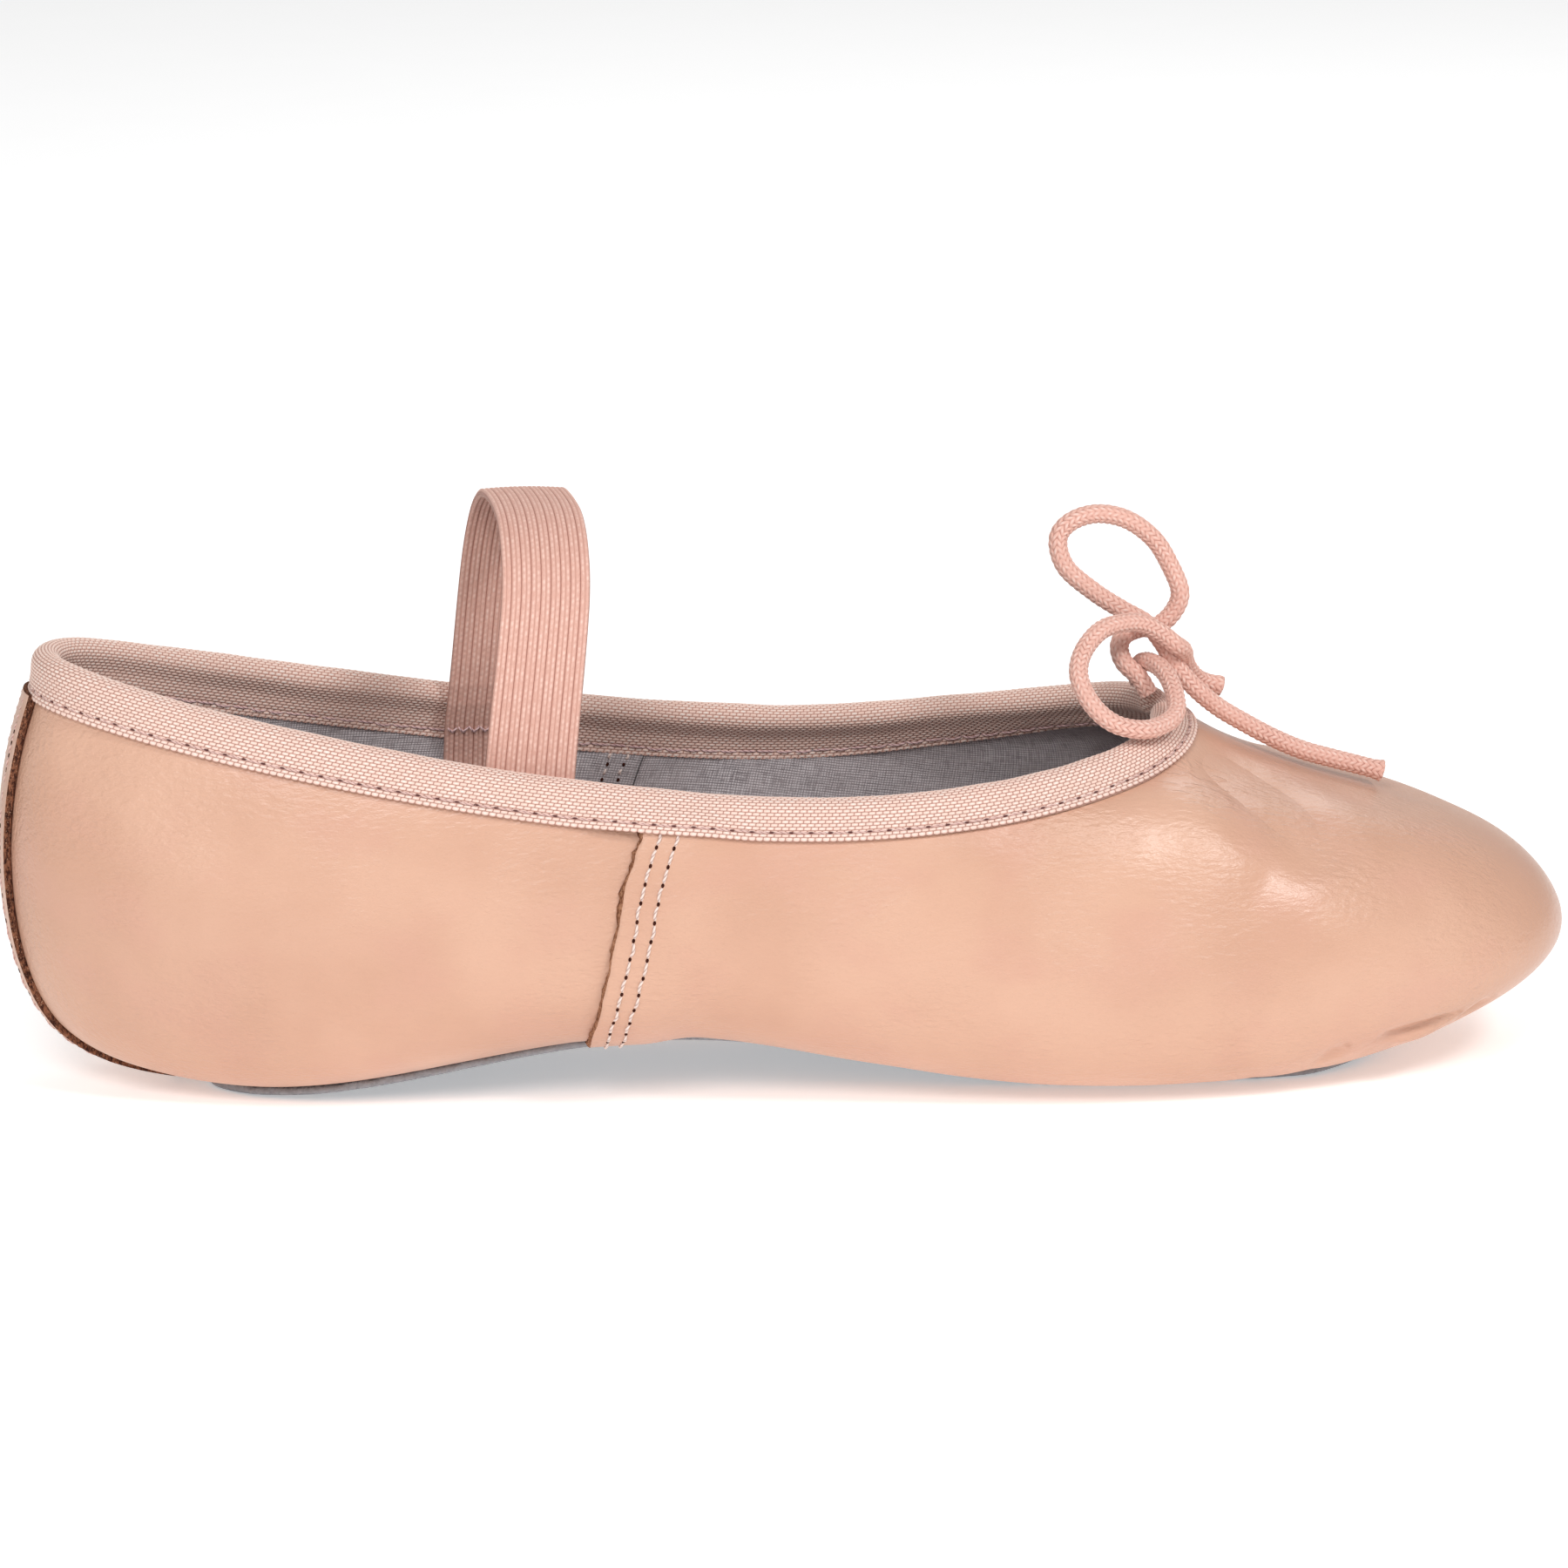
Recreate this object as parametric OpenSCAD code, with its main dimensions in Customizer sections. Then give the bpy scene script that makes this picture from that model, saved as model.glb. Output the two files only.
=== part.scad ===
// Leather ballet slipper: full suede sole, lapped side seams, back stay,
// drawstring binding tied in a bow, and an elastic instep strap.
// Millimetres. +X points to the toe, -Y is the near side, +Z is up.
// Shape tables are written from the heel at x = 0 and are centred by place().

/* [Shoe] */
// Length of the upper, heel to toe
upper_length = 232; // [226:1:238]
// Width of the upper across the ball
ball_width = 77; // [75:1:80]
// Height of the upper's edge at the back of the heel
back_height = 62; // [61:1:63]

/* [Materials] */
// Thickness of the upper leather
leather_t = 1.0; // [0.8:0.1:1.1]
// Thickness of the cotton lining
lining_t = 0.4; // [0.3:0.1:0.5]
// Thickness of the suede sole
sole_t = 1.4; // [1.2:0.1:1.4]
// Thickness of the elastic strap
strap_t = 1.2; // [1:0.1:1.3]

/* [Trim] */
// Width of the elastic strap
strap_w = 13.2; // [11:0.2:14]
// Height of the strap's crown above the ground
strap_top = 88; // [80:1:92]
// Diameter of the drawstring
cord_d = 2.8; // [2.4:0.1:2.8]
// Depth of the binding below the top edge of the leather
binding_depth = 3.4; // [3:0.1:3.6]
// Length of one stitch
stitch_len = 2.1; // [1.8:0.1:2.3]

/* [Hidden] */

// Colours
leather_color = [0.86, 0.66, 0.55];
stay_edge_color = [0.45, 0.27, 0.19];
trim_color = [0.92, 0.70, 0.62];
lining_color = [0.80, 0.78, 0.78];
suede_color = [0.42, 0.45, 0.49];
board_color = [0.72, 0.62, 0.50];
thread_color = [0.93, 0.84, 0.78];

// Middle of the shoe, from the heel
x_mid = 116.6;
kx = upper_length / 232;
ky = ball_width / 77;
kz = back_height / 62;
layer_gap = 0.08;
// Room between leather and lining, whose facets differ
lining_space = 0.3;

// A point of the shape tables in the shoe's own frame
function place(p) = [(p.x - x_mid) * kx, p.y * ky, p.z * kz];

// ---- Bottom profile -------------------------------------------------------
arch_from = 42;
arch_to = 160;
arch_lift = 7;
spring_from = 186;
spring_run = 46;
spring_lift = 7;
function clamp01(a) = max(0, min(1, a));
function smooth(a) = let (c = clamp01(a)) c * c * (3 - 2 * c);
// Height of the sole's underside above the ground, at x from the heel
function bottom(x) =
    arch_lift * pow(sin(180 * clamp01((x - arch_from) / (arch_to - arch_from))), 2)
    + spring_lift * pow(clamp01((x - spring_from) / spring_run), 2);

// ---- The last: seven rings of control points, near half, heel to toe ------
// The two lowest rings stand on the bottom profile; the rest are real heights.
feather_z = 1.6;
margin = 6;
spine_from = 45;
spine_to = 185;
feather = [
    [28, 0], [29, -11], [46, -19], [72, -18.5], [100, -16],
    [128, -20], [166, -27], [200, -20], [208, 0],
];
low = [
    [5, 0, 6], [9, -13, 5.5], [40, -25, 4], [72, -27, 4], [100, -26, 3.2],
    [130, -31, 1.8], [168, -38, 1.2], [214, -28, 1.4], [225, 0, 2.2],
];
middle = [
    [0, 0, 30], [3, -16, 30], [36, -31, 25], [70, -34, 23], [100, -35.5, 20],
    [132, -39, 18], [176, -42, 17], [230, -33, 15], [242, 0, 17],
];
shoulder = [
    [2, 0, 49], [5, -14, 49], [34, -27, 44], [66, -32, 40], [96, -34, 36],
    [130, -36, 36], [174, -34, 41], [218, -23, 36.5], [230.5, 0, 33.5],
];
collar = [
    [4.5, 0, 57], [8, -12.5, 57], [33, -24, 52], [64, -30, 46.5], [94, -33, 43],
    [126, -34, 42], [166, -26, 48], [186, -13, 43.5], [192, 0, 42],
];
rim = [
    [6, 0, 63], [10, -13, 62.5], [33, -22, 56.5], [63, -28.5, 50.5], [93, -31.5, 46],
    [123, -32, 43.5], [152, -30, 45.5], [170, -18, 52], [172, 0, 54.5],
];
columns = 16;
toe = 8;
top = 6;

// A feather point moved towards the shoe's spine by a distance
function inset(p, by) = let (
    sx = min(max(p.x, spine_from), spine_to),
    d = norm([p.x - sx, p.y]),
    k = (d - by) / d
) [sx + (p.x - sx) * k, p.y * k];
function lifted(p) = [p.x, p.y, feather_z];
// The far half mirrors the near one
function ring(r) = concat(r, [for (i = [toe - 1:-1:1]) [r[i].x, -r[i].y, r[i].z]]);
rings = [
    ring([for (p = feather) lifted(inset(p, margin))]),
    ring([for (p = feather) lifted(p)]),
    ring(low), ring(middle), ring(shoulder), ring(collar), ring(rim),
];

function spline(a, b, c, d, f) =
    (a * pow(1 - f, 3) + b * (3 * pow(f, 3) - 6 * f * f + 4)
     + c * (-3 * pow(f, 3) + 3 * f * f + 3 * f + 1) + d * pow(f, 3)) / 6;
// Ring r at column s, periodic in s; rings past the ends continue straight
function ring_at(r, s) =
    r < 0 ? 2 * ring_at(0, s) - ring_at(1, s)
    : r > top ? 2 * ring_at(top, s) - ring_at(top - 1, s)
    : let (w = s < 0 ? s + columns : s, i = floor(w), f = w - i)
      spline(rings[r][(i + columns - 1) % columns], rings[r][i % columns],
             rings[r][(i + 1) % columns], rings[r][(i + 2) % columns], f);
// How far the bottom profile lifts the wall at height parameter v
function carry(v) = 1 - smooth((v - 1.2) / 2.3);
// Outer face of the quarters: column s (0 heel, 8 toe), height v (1 feather, 6 rim)
function last(s, v) = let (
    i = min(floor(v), top - 1),
    p = spline(ring_at(i - 1, s), ring_at(i, s), ring_at(i + 1, s), ring_at(i + 2, s), v - i)
) place([p.x, p.y, p.z + bottom(p.x) * carry(v)]);

step = 0.02;
function unit(p) = p / norm(p);
function along(s, v) = unit(last(s + step, v) - last(s - step, v));
function upward(s, v) = let (a = max(v - step, 0), b = min(v + step, top))
    unit(last(s, b) - last(s, a));
// Outward normal of the last
function outward(s, v) = unit(cross(along(s, v), upward(s, v)));
function skin(s, v, off) = last(s, v) + outward(s, v) * off;

// The leather and lining stop at this height
edge = 5.85;

// ---- Sheets cut from the last ---------------------------------------------
// Row i of m between v0 and v1
function row_v(i, m, v0, v1) = v0 + (v1 - v0) * i / m;
// Triangles that close a slab of two (m+1) x (n+1) grids
function slab_faces(m, n) = let (
    w = n + 1,
    low_grid = (m + 1) * w,
    cell = function(a, b, c, d) [[a, b, c], [a, c, d]]
) [
    for (i = [0:m - 1], j = [0:n - 1])
        let (a = i * w + j, b = a + 1, c = a + w + 1, d = a + w, k = low_grid)
        each concat(cell(a, b, c, d), cell(a + k, d + k, c + k, b + k)),
    for (j = [0:n - 1])
        let (a = j, b = j + 1, c = m * w + j, d = c + 1, k = low_grid)
        each concat(cell(b, a, a + k, b + k), cell(c, d, d + k, c + k)),
    for (i = [0:m - 1])
        let (a = i * w, b = a + w, c = a + n, d = c + w, k = low_grid)
        each concat(cell(a, b, b + k, a + k), cell(d, c, c + k, d + k)),
];
// A sheet between columns from(v) and to(v), its outer face at face(s, v)
module sheet(from, to, v0, v1, n, m, face, t) {
    grid = [
        for (off = [0, -t], i = [0:m], j = [0:n])
            let (v = row_v(i, m, v0, v1), s = from(v) + (to(v) - from(v)) * j / n)
            skin(s, v, face(s, v) + off)
    ];
    polyhedron(grid, slab_faces(m, n), convexity = 6);
}

// ---- Upper: vamp lapped over the quarters at the side seams ----------------
seam_rim = 3.93;
seam_foot = 3.5;
lap = 0.24;
lap_fade = 0.3;
// Under the foot the two edges butt; from lift_from to lift_to the vamp rises
// clear of the quarter, and from there to lap_to the quarter runs in under it
butt_gap = 0.03;
lift_from = 1.0;
lift_to = 1.35;
lap_to = 1.7;
// Rear edge of the vamp, on the near side
function seam(v) = seam_foot + (seam_rim - seam_foot) * (v - 1) / (top - 1);
function quarter_front(v) =
    seam(v) - butt_gap + (lap + butt_gap) * smooth((v - lift_to) / (lap_to - lift_to));
lap_lift = leather_t + layer_gap;
lining_gap = 0.04;
back_gap = 0.01;
upper_rows = 18;
vamp_columns = 44;
quarter_columns = 20;
// The vamp rides over the quarter's front edge, then drops to the last
function vamp_face(s, v) = let (near = s > toe ? columns - s : s)
    lap_lift * smooth((v - lift_from) / (lift_to - lift_from))
    * (1 - smooth((near - seam(v) - lap - lining_gap) / lap_fade));
vamp_skin = function(s, v) vamp_face(s, v);
quarter_skin = function(s, v) 0;
lining_skin = function(s, v) -leather_t - lining_space;

module vamp_sheet(rear, face, t) {
    front = function(v) columns - rear(v);
    sheet(rear, front, 0, edge, vamp_columns, upper_rows, face, t);
}
module quarter_sheet(face, t) {
    back = function(v) back_gap;
    front = function(v) quarter_front(v);
    sheet(back, front, 0, edge, quarter_columns, upper_rows, face, t);
}
module vamp() {
    color(leather_color) vamp_sheet(function(v) seam(v), vamp_skin, leather_t);
}
module vamp_lining() {
    rear = function(v) quarter_front(v) + lining_gap;
    color(lining_color) vamp_sheet(rear, lining_skin, lining_t);
}
module quarter_near() { color(leather_color) quarter_sheet(quarter_skin, leather_t); }
module quarter_lining_near() { color(lining_color) quarter_sheet(lining_skin, lining_t); }
module quarter_far() { mirror([0, 1, 0]) quarter_near(); }
module quarter_lining_far() { mirror([0, 1, 0]) quarter_lining_near(); }

// ---- Back stay: the strip that covers the back seam ------------------------
stay_half = 0.36;
stay_t = 1.2;
stay_top = edge - 0.75;
stay_skin = function(s, v) stay_t + layer_gap;
module back_stay() {
    near = function(v) -stay_half;
    far = function(v) stay_half;
    color(stay_edge_color) sheet(near, far, 1, stay_top, 4, upper_rows, stay_skin, stay_t);
}

// ---- Sole stack ------------------------------------------------------------
outline_steps = 64;
// The feather line moved inwards by a distance
function sole_outline(by) = [
    for (k = [0:outline_steps - 1])
        let (s = columns * k / outline_steps,
             p = place([each inset(ring_at(1, s), by), 0]))
        [p.x, p.y]
];
profile_ends = [20, 215];
arch_steps = 20;
spring_steps = 6;
profile_x = concat(
    [profile_ends[0]],
    [for (k = [0:arch_steps]) arch_from + (arch_to - arch_from) * k / arch_steps],
    [for (k = [0:spring_steps]) spring_from + (profile_ends[1] - spring_from) * k / spring_steps]
);
// Side view of a layer: from lift z0 to lift z1 above the bottom profile
function layer_profile(z0, z1) = let (
    n = len(profile_x) - 1,
    side = function(x, z) let (p = place([x, 0, bottom(x)])) [p.x, p.z + z]
) concat([for (k = [0:n]) side(profile_x[k], z0)],
         [for (k = [n:-1:0]) side(profile_x[k], z1)]);
// One flat layer of the sole: plan outline cut by the side profile
module sole_layer(by, z0, z1) {
    intersection() {
        linear_extrude(40) polygon(sole_outline(by));
        rotate([90, 0, 0]) linear_extrude(120, center = true) polygon(layer_profile(z0, z1));
    }
}
sole_edge = 0.5;
board_inset = 2.5;
sock_inset = 1.2;
board_from = 3.4;
board_t = 1;
sock_from = board_from + board_t + layer_gap;
sock_t = 2;
module outsole() { color(suede_color) sole_layer(-sole_edge, 0, sole_t); }
module sole_filler() {
    color(board_color) sole_layer(margin + 0.6, sole_t + layer_gap, board_from - layer_gap);
}
module insole_board() {
    color(board_color) sole_layer(board_inset, board_from, board_from + board_t);
}
module sock_lining() { color(lining_color) sole_layer(sock_inset, sock_from, sock_from + sock_t); }

// ---- Topline binding and its drawstring ------------------------------------
tape_t = 0.6;
wall_t = leather_t + lining_t + lining_space;
leg_gap = 0.15;
cord_gap = 0.15;
channel_r = cord_d / 2 + cord_gap;
roll_r = channel_r + tape_t;
roll_lift = cord_d / 2 + cord_gap;
roll_sweep = 15;
roll_steps = 6;
leg_rows = 3;
exit_gap = 0.24;
binding_rings = 64;
lap_reach = 0.3;
function wrapped(s) = s >= columns ? s - columns : s;
// Ring k of the binding, from the far exit round the heel to the near exit
function rim_column(k) = wrapped(toe + exit_gap + (columns - 2 * exit_gap) * k / binding_rings);
rim_columns = [for (k = [0:binding_rings]) rim_column(k)];
// Height parameter of a point a distance below the edge
function below_edge(s, depth) = edge - depth / norm(last(s, edge) - last(s, edge - 1));
// The lapped vamp pushes the binding out
function over_vamp(s) = let (near = s > toe ? columns - s : s)
    near > seam(edge) - lap_reach ? vamp_face(s, edge) : 0;
function roll_point(s, r, angle) =
    last(s, edge) + upward(s, edge) * roll_lift - outward(s, edge) * wall_t / 2
    + (outward(s, edge) * cos(angle) + upward(s, edge) * sin(angle)) * r;
function roll_arc(s, r, from, to) = [
    for (k = [0:roll_steps]) roll_point(s, r, from + (to - from) * k / roll_steps)
];
// Points down one leg of the folded tape, from the roll to the raw edge
function leg(s, off) = [
    for (k = [1:leg_rows]) skin(s, below_edge(s, binding_depth * k / leg_rows), off)
];
function flipped(list) = [for (k = [len(list) - 1:-1:0]) list[k]];
function tape_section(s) = let (
    out = leg_gap + over_vamp(s),
    inn = -wall_t - leg_gap
) concat(
    flipped(leg(s, out + tape_t)),
    roll_arc(s, roll_r, -roll_sweep, 180 + roll_sweep),
    leg(s, inn - tape_t),
    flipped(leg(s, inn)),
    roll_arc(s, channel_r, 180 + roll_sweep, -roll_sweep),
    leg(s, out)
);
// A skin over a row of equal-sized closed sections, with cap(k) over end k
module skinned(sections, cap) {
    n = len(sections[0]);
    m = len(sections) - 1;
    sides = [
        for (i = [0:m - 1], j = [0:n - 1])
            let (a = i * n + j, b = i * n + (j + 1) % n, c = b + n, d = a + n)
            each [[a, b, c], [a, c, d]]
    ];
    far_cap = [for (f = cap) [f[2] + m * n, f[1] + m * n, f[0] + m * n]];
    polyhedron([for (section = sections) each section], concat(sides, cap, far_cap));
}
// Cap of the folded tape: a ladder between its outer and inner halves
tape_points = 4 * leg_rows + 2 * (roll_steps + 1);
tape_cap = [
    for (a = [0:tape_points / 2 - 2])
        let (b = a + 1, c = tape_points - 2 - a, d = tape_points - 1 - a)
        each [[c, b, a], [d, c, a]]
];
cord_sides = 8;
cord_cap = [for (k = [1:cord_sides - 2]) [k + 1, k, 0]];
module topline_binding() {
    color(trim_color) skinned([for (s = rim_columns) tape_section(s)], tape_cap);
}
module drawstring() {
    around = [for (k = [0:cord_sides - 1]) 360 * k / cord_sides];
    sections = [for (s = rim_columns) [for (a = around) roll_point(s, cord_d / 2, a)]];
    color(trim_color) skinned(sections, cord_cap);
}

// ---- Free ends of the drawstring, tied in a bow ----------------------------
// Points along each end, from its exit to its cut tip
route_near = [
    [170, -4.5, 55], [168.5, -4, 57.5], [166.5, -3, 59.5], [166, -1.5, 61.5], [167, 0, 63],
    [169.5, 2, 63.5], [172.5, 3.5, 63.5], [175, 4, 65.5], [176, 4, 68.5], [174.5, 4.5, 72.5],
    [172, 4.5, 76.5], [168, 4.5, 79.5], [163.5, 4.5, 80.5], [159.5, 4, 79.5], [157.5, 3.5, 77],
    [158.5, 2.5, 73], [162.5, 1, 69.5], [166.5, -0.5, 67], [170, -1.5, 65], [172.5, -1.5, 62],
    [174.5, -1.5, 58.5], [177.5, -1.5, 55], [181, -1, 52], [185, -1, 49.5], [189.5, -1, 47],
    [194, -1, 45], [199, -1, 43.5], [202.5, -1, 42.5], [206, -1, 41.5],
];
route_far = [
    [170, 4.5, 55], [169.5, 3, 57], [169.5, 0.5, 58.5], [170, -2.5, 59.5], [171, -5.5, 59.5],
    [172, -8.5, 58.5], [172.5, -12, 56.5], [172, -15.5, 54.5], [169.5, -18.5, 53.5],
    [166, -21, 53.5], [162, -21, 54.5], [159, -19.5, 57], [157.5, -16.5, 60.5],
    [158.5, -13.5, 63.5], [161.5, -10.5, 66], [165, -8, 66.5], [168.5, -6, 66],
    [171.5, -5, 64.5], [174, -4.5, 63], [176, -2.5, 62], [177, 0.5, 60], [178, 3, 57.5],
    [180, 4, 55.5], [183, 4.5, 54],
];
function run(path, k) = unit(path[min(k + 1, len(path) - 1)] - path[max(k - 1, 0)]);
function square_to(u, t) = unit(u - t * (u * t));
// One tube along a path; its rings turn no more than the path does
module tube(path, d) {
    n = len(path);
    sides = [
        for (k = 0, u = square_to([0, 1, 0], run(path, 0)); k < n;
             k = k + 1, u = k < n ? square_to(u, run(path, k)) : u) u
    ];
    sections = [
        for (k = [0:n - 1])
            let (u = sides[k], w = cross(run(path, k), u))
            [for (j = [0:cord_sides - 1])
                let (a = 360 * j / cord_sides) path[k] + (u * cos(a) + w * sin(a)) * d / 2]
    ];
    skinned(sections, cord_cap);
}
module drawstring_end_near() { color(trim_color) tube([for (p = route_near) place(p)], cord_d); }
module drawstring_end_far() { color(trim_color) tube([for (p = route_far) place(p)], cord_d); }

// ---- Elastic strap ---------------------------------------------------------
strap_x = 74.5;
strap_pivot_z = 47;
strap_half = 24;
strap_foot_z = 56;
strap_power = 3.2;
strap_lean = 3.5;
strap_steps = 14;
pivot = place([strap_x, 0, strap_pivot_z]);
// Outline of the arch, set in by a distance, from the near foot to the far one
function arch(by) = let (
    half = (strap_half - by) * ky,
    rise = strap_top - by - strap_foot_z
) [
    for (k = [0:2 * strap_steps])
        let (a = 90 * k / strap_steps, c = cos(a), q = 2 / strap_power)
        [-sign(c) * half * pow(abs(c), q), strap_foot_z + rise * pow(sin(a), q)]
];
module strap_arch() {
    outer = arch(0);
    inner = flipped(arch(strap_t));
    feet = [[outer[0].x, pivot.z], [-outer[0].x, pivot.z]];
    toes = [[-inner[len(inner) - 1].x, pivot.z], [inner[len(inner) - 1].x, pivot.z]];
    polygon(concat([feet[0]], outer, [feet[1]], [toes[0]], inner, [toes[1]]));
}
// Each leg ends in a round foot about the hinge line
module strap_foot(y) {
    translate([0, y, 0]) rotate([-90, 0, 0]) cylinder(d = strap_w, h = strap_t, $fn = 48);
}
module elastic_strap() {
    color(trim_color) translate([pivot.x, 0, pivot.z]) rotate([0, strap_lean, 0]) {
        translate([-strap_w / 2, 0, -pivot.z])
            rotate([90, 0, 90]) linear_extrude(strap_w) strap_arch();
        strap_foot(-strap_half * ky);
        strap_foot(strap_half * ky - strap_t);
    }
}
// The sewn ends lie outside the feet, against the binding, and hang down the lining
tab = [
    [25, 47.8], [26, 47.8], [27.3, 45.4], [27.9, 43.6], [29, 40.5], [30.2, 35.5],
    [29, 35.5], [27.8, 40.5], [26.7, 43.6], [26.1, 45.2], [25, 46.6],
];
module strap_tab(side) {
    outline = [for (p = tab) [side * p.x * ky, p.y * kz]];
    color(trim_color) translate([pivot.x - strap_w / 2, 0, 0])
        rotate([90, 0, 90]) linear_extrude(strap_w) polygon(outline);
}
module strap_tab_near() { strap_tab(-1); }
module strap_tab_far() { strap_tab(1); }

// ---- Stitches --------------------------------------------------------------
thread_d = 0.7;
stitch_lift = thread_d / 2 + 0.12;
stitch_gap = 0.7;
// One straight stitch between two points
module stitch(a, b) {
    d = b - a;
    l = norm(d);
    translate(a) rotate([0, acos(d.z / l), atan2(d.y, d.x)])
        cylinder(d = thread_d, h = l, $fn = 16);
}
// Stitches spread evenly along a path given by a function of 0 to 1
module stitch_row(path, length) {
    count = round(length / (stitch_len + stitch_gap));
    part = stitch_len / (stitch_len + stitch_gap);
    for (k = [0:count - 1]) stitch(path(k / count), path((k + part) / count));
}
seam_rows = [0.07, 0.15];
seam_span = [1.25, 5];
seam_run = 34;
module side_seam_stitches_near() {
    for (ahead = seam_rows) {
        path = function(f)
            let (v = seam_span[0] + (seam_span[1] - seam_span[0]) * f, s = seam(v) + ahead)
            skin(s, v, lap_lift + stitch_lift);
        color(thread_color) stitch_row(path, seam_run);
    }
}
module side_seam_stitches_far() { mirror([0, 1, 0]) side_seam_stitches_near(); }
stay_inset = 0.1;
stay_run = 62;
module back_stay_stitches() {
    for (side = [-1, 1]) {
        path = function(f)
            let (v = 1.3 + (stay_top - 1.35) * f, s = side * (stay_half - stay_inset))
            skin(s, v, stay_t + layer_gap + stitch_lift);
        color(thread_color) stitch_row(path, stay_run);
    }
}
// Length round the topline
topline_run = 388;
binding_stitch_depth = binding_depth - 0.9;
module binding_stitches() {
    start = toe + exit_gap + 0.05;
    path = function(f)
        let (s = wrapped(start + (columns - 2 * (start - toe)) * f))
        skin(s, below_edge(s, binding_stitch_depth),
             over_vamp(s) + leg_gap + tape_t + stitch_lift);
    color(thread_color) stitch_row(path, topline_run);
}
strap_stitch_y = 25.6;
strap_stitch_z = 45.2;
module strap_stitches() {
    for (side = [-1, 1]) {
        path = function(f)
            [pivot.x + strap_w * (f - 0.5) * 0.9, side * strap_stitch_y * ky, strap_stitch_z * kz];
        color(thread_color) stitch_row(path, strap_w);
    }
}
sole_run = 400;
sole_stitch_inset = 4;
module sole_stitches() {
    path = function(f)
        let (p = inset(ring_at(1, wrapped(columns * f)), sole_stitch_inset))
        place([p[0], p[1], bottom(p[0])]) + [0, 0, thread_d / 2 + 0.05];
    color(thread_color) stitch_row(path, sole_run);
}

outsole();
sole_filler();
insole_board();
sock_lining();
vamp();
quarter_near();
quarter_far();
vamp_lining();
quarter_lining_near();
quarter_lining_far();
back_stay();
topline_binding();
drawstring();
drawstring_end_near();
drawstring_end_far();
elastic_strap();
strap_tab_near();
strap_tab_far();
strap_stitches();
side_seam_stitches_near();
side_seam_stitches_far();
back_stay_stitches();
binding_stitches();
sole_stitches();
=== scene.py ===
"""Looks of a leather ballet slipper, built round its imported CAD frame.

Shapes are worked out in millimetres with x measured from the heel, as the
last's tables are, and are turned into metres in the frame when a mesh is made.
"""
import math

import bpy
import numpy as np
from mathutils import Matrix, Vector


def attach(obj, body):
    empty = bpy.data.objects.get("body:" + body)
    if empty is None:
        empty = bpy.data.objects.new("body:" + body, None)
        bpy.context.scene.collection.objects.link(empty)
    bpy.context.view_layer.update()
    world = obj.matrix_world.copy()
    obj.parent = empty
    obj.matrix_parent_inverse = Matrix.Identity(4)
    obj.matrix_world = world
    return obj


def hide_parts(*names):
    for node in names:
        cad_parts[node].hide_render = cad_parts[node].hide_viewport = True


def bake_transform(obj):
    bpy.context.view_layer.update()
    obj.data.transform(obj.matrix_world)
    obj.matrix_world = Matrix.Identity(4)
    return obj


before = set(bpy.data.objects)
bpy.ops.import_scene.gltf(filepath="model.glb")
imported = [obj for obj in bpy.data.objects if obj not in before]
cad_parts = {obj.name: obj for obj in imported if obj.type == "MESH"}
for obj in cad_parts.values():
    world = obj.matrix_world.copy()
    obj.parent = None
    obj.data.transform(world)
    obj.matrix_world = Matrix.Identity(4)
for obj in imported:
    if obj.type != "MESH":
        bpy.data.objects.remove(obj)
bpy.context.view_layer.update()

MM = 0.001
X_MID = 116.6  # the frame's origin, in millimetres from the heel


# ---- Camera -----------------------------------------------------------------
VIEW_AZIMUTH, VIEW_ELEVATION = -7.0, 13.5
VIEW_DISTANCE = 1.0
VIEW_WIDTH = 0.234  # what the frame takes in at that distance
VIEW_CENTRE = Vector((-0.0006, 0, 0))
VIEW_SHIFT_RIGHT, VIEW_SHIFT_UP = 0.00026, 0.04069
SENSOR = 36.0


def make_camera():
    a, e = math.radians(VIEW_AZIMUTH), math.radians(VIEW_ELEVATION)
    back = Vector((math.sin(a) * math.cos(e), -math.cos(a) * math.cos(e), math.sin(e)))
    right = Vector((math.cos(a), math.sin(a), 0))
    up = back.cross(right)
    data = bpy.data.cameras.new("camera")
    data.sensor_width = SENSOR
    data.lens = SENSOR * VIEW_DISTANCE / VIEW_WIDTH
    camera = bpy.data.objects.new("camera", data)
    bpy.context.scene.collection.objects.link(camera)
    aim = VIEW_CENTRE + right * VIEW_SHIFT_RIGHT + up * VIEW_SHIFT_UP
    camera.location = aim + back * VIEW_DISTANCE
    camera.rotation_mode = "QUATERNION"
    camera.rotation_quaternion = (-back).to_track_quat("-Z", "Y")
    bpy.context.scene.camera = camera


make_camera()


# ---- Shader kit -------------------------------------------------------------
STUDIO_GAIN = 1.18  # how much brighter than its own colour a surface looks in this light


def srgb(r, g, b):
    """Base colour, in the linear values that sockets take, of what looks r, g, b when lit."""
    def linear(c):
        c /= 255
        return c / 12.92 if c <= 0.04045 else ((c + 0.055) / 1.055) ** 2.4
    return (linear(r) / STUDIO_GAIN, linear(g) / STUDIO_GAIN, linear(b) / STUDIO_GAIN, 1.0)


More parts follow.
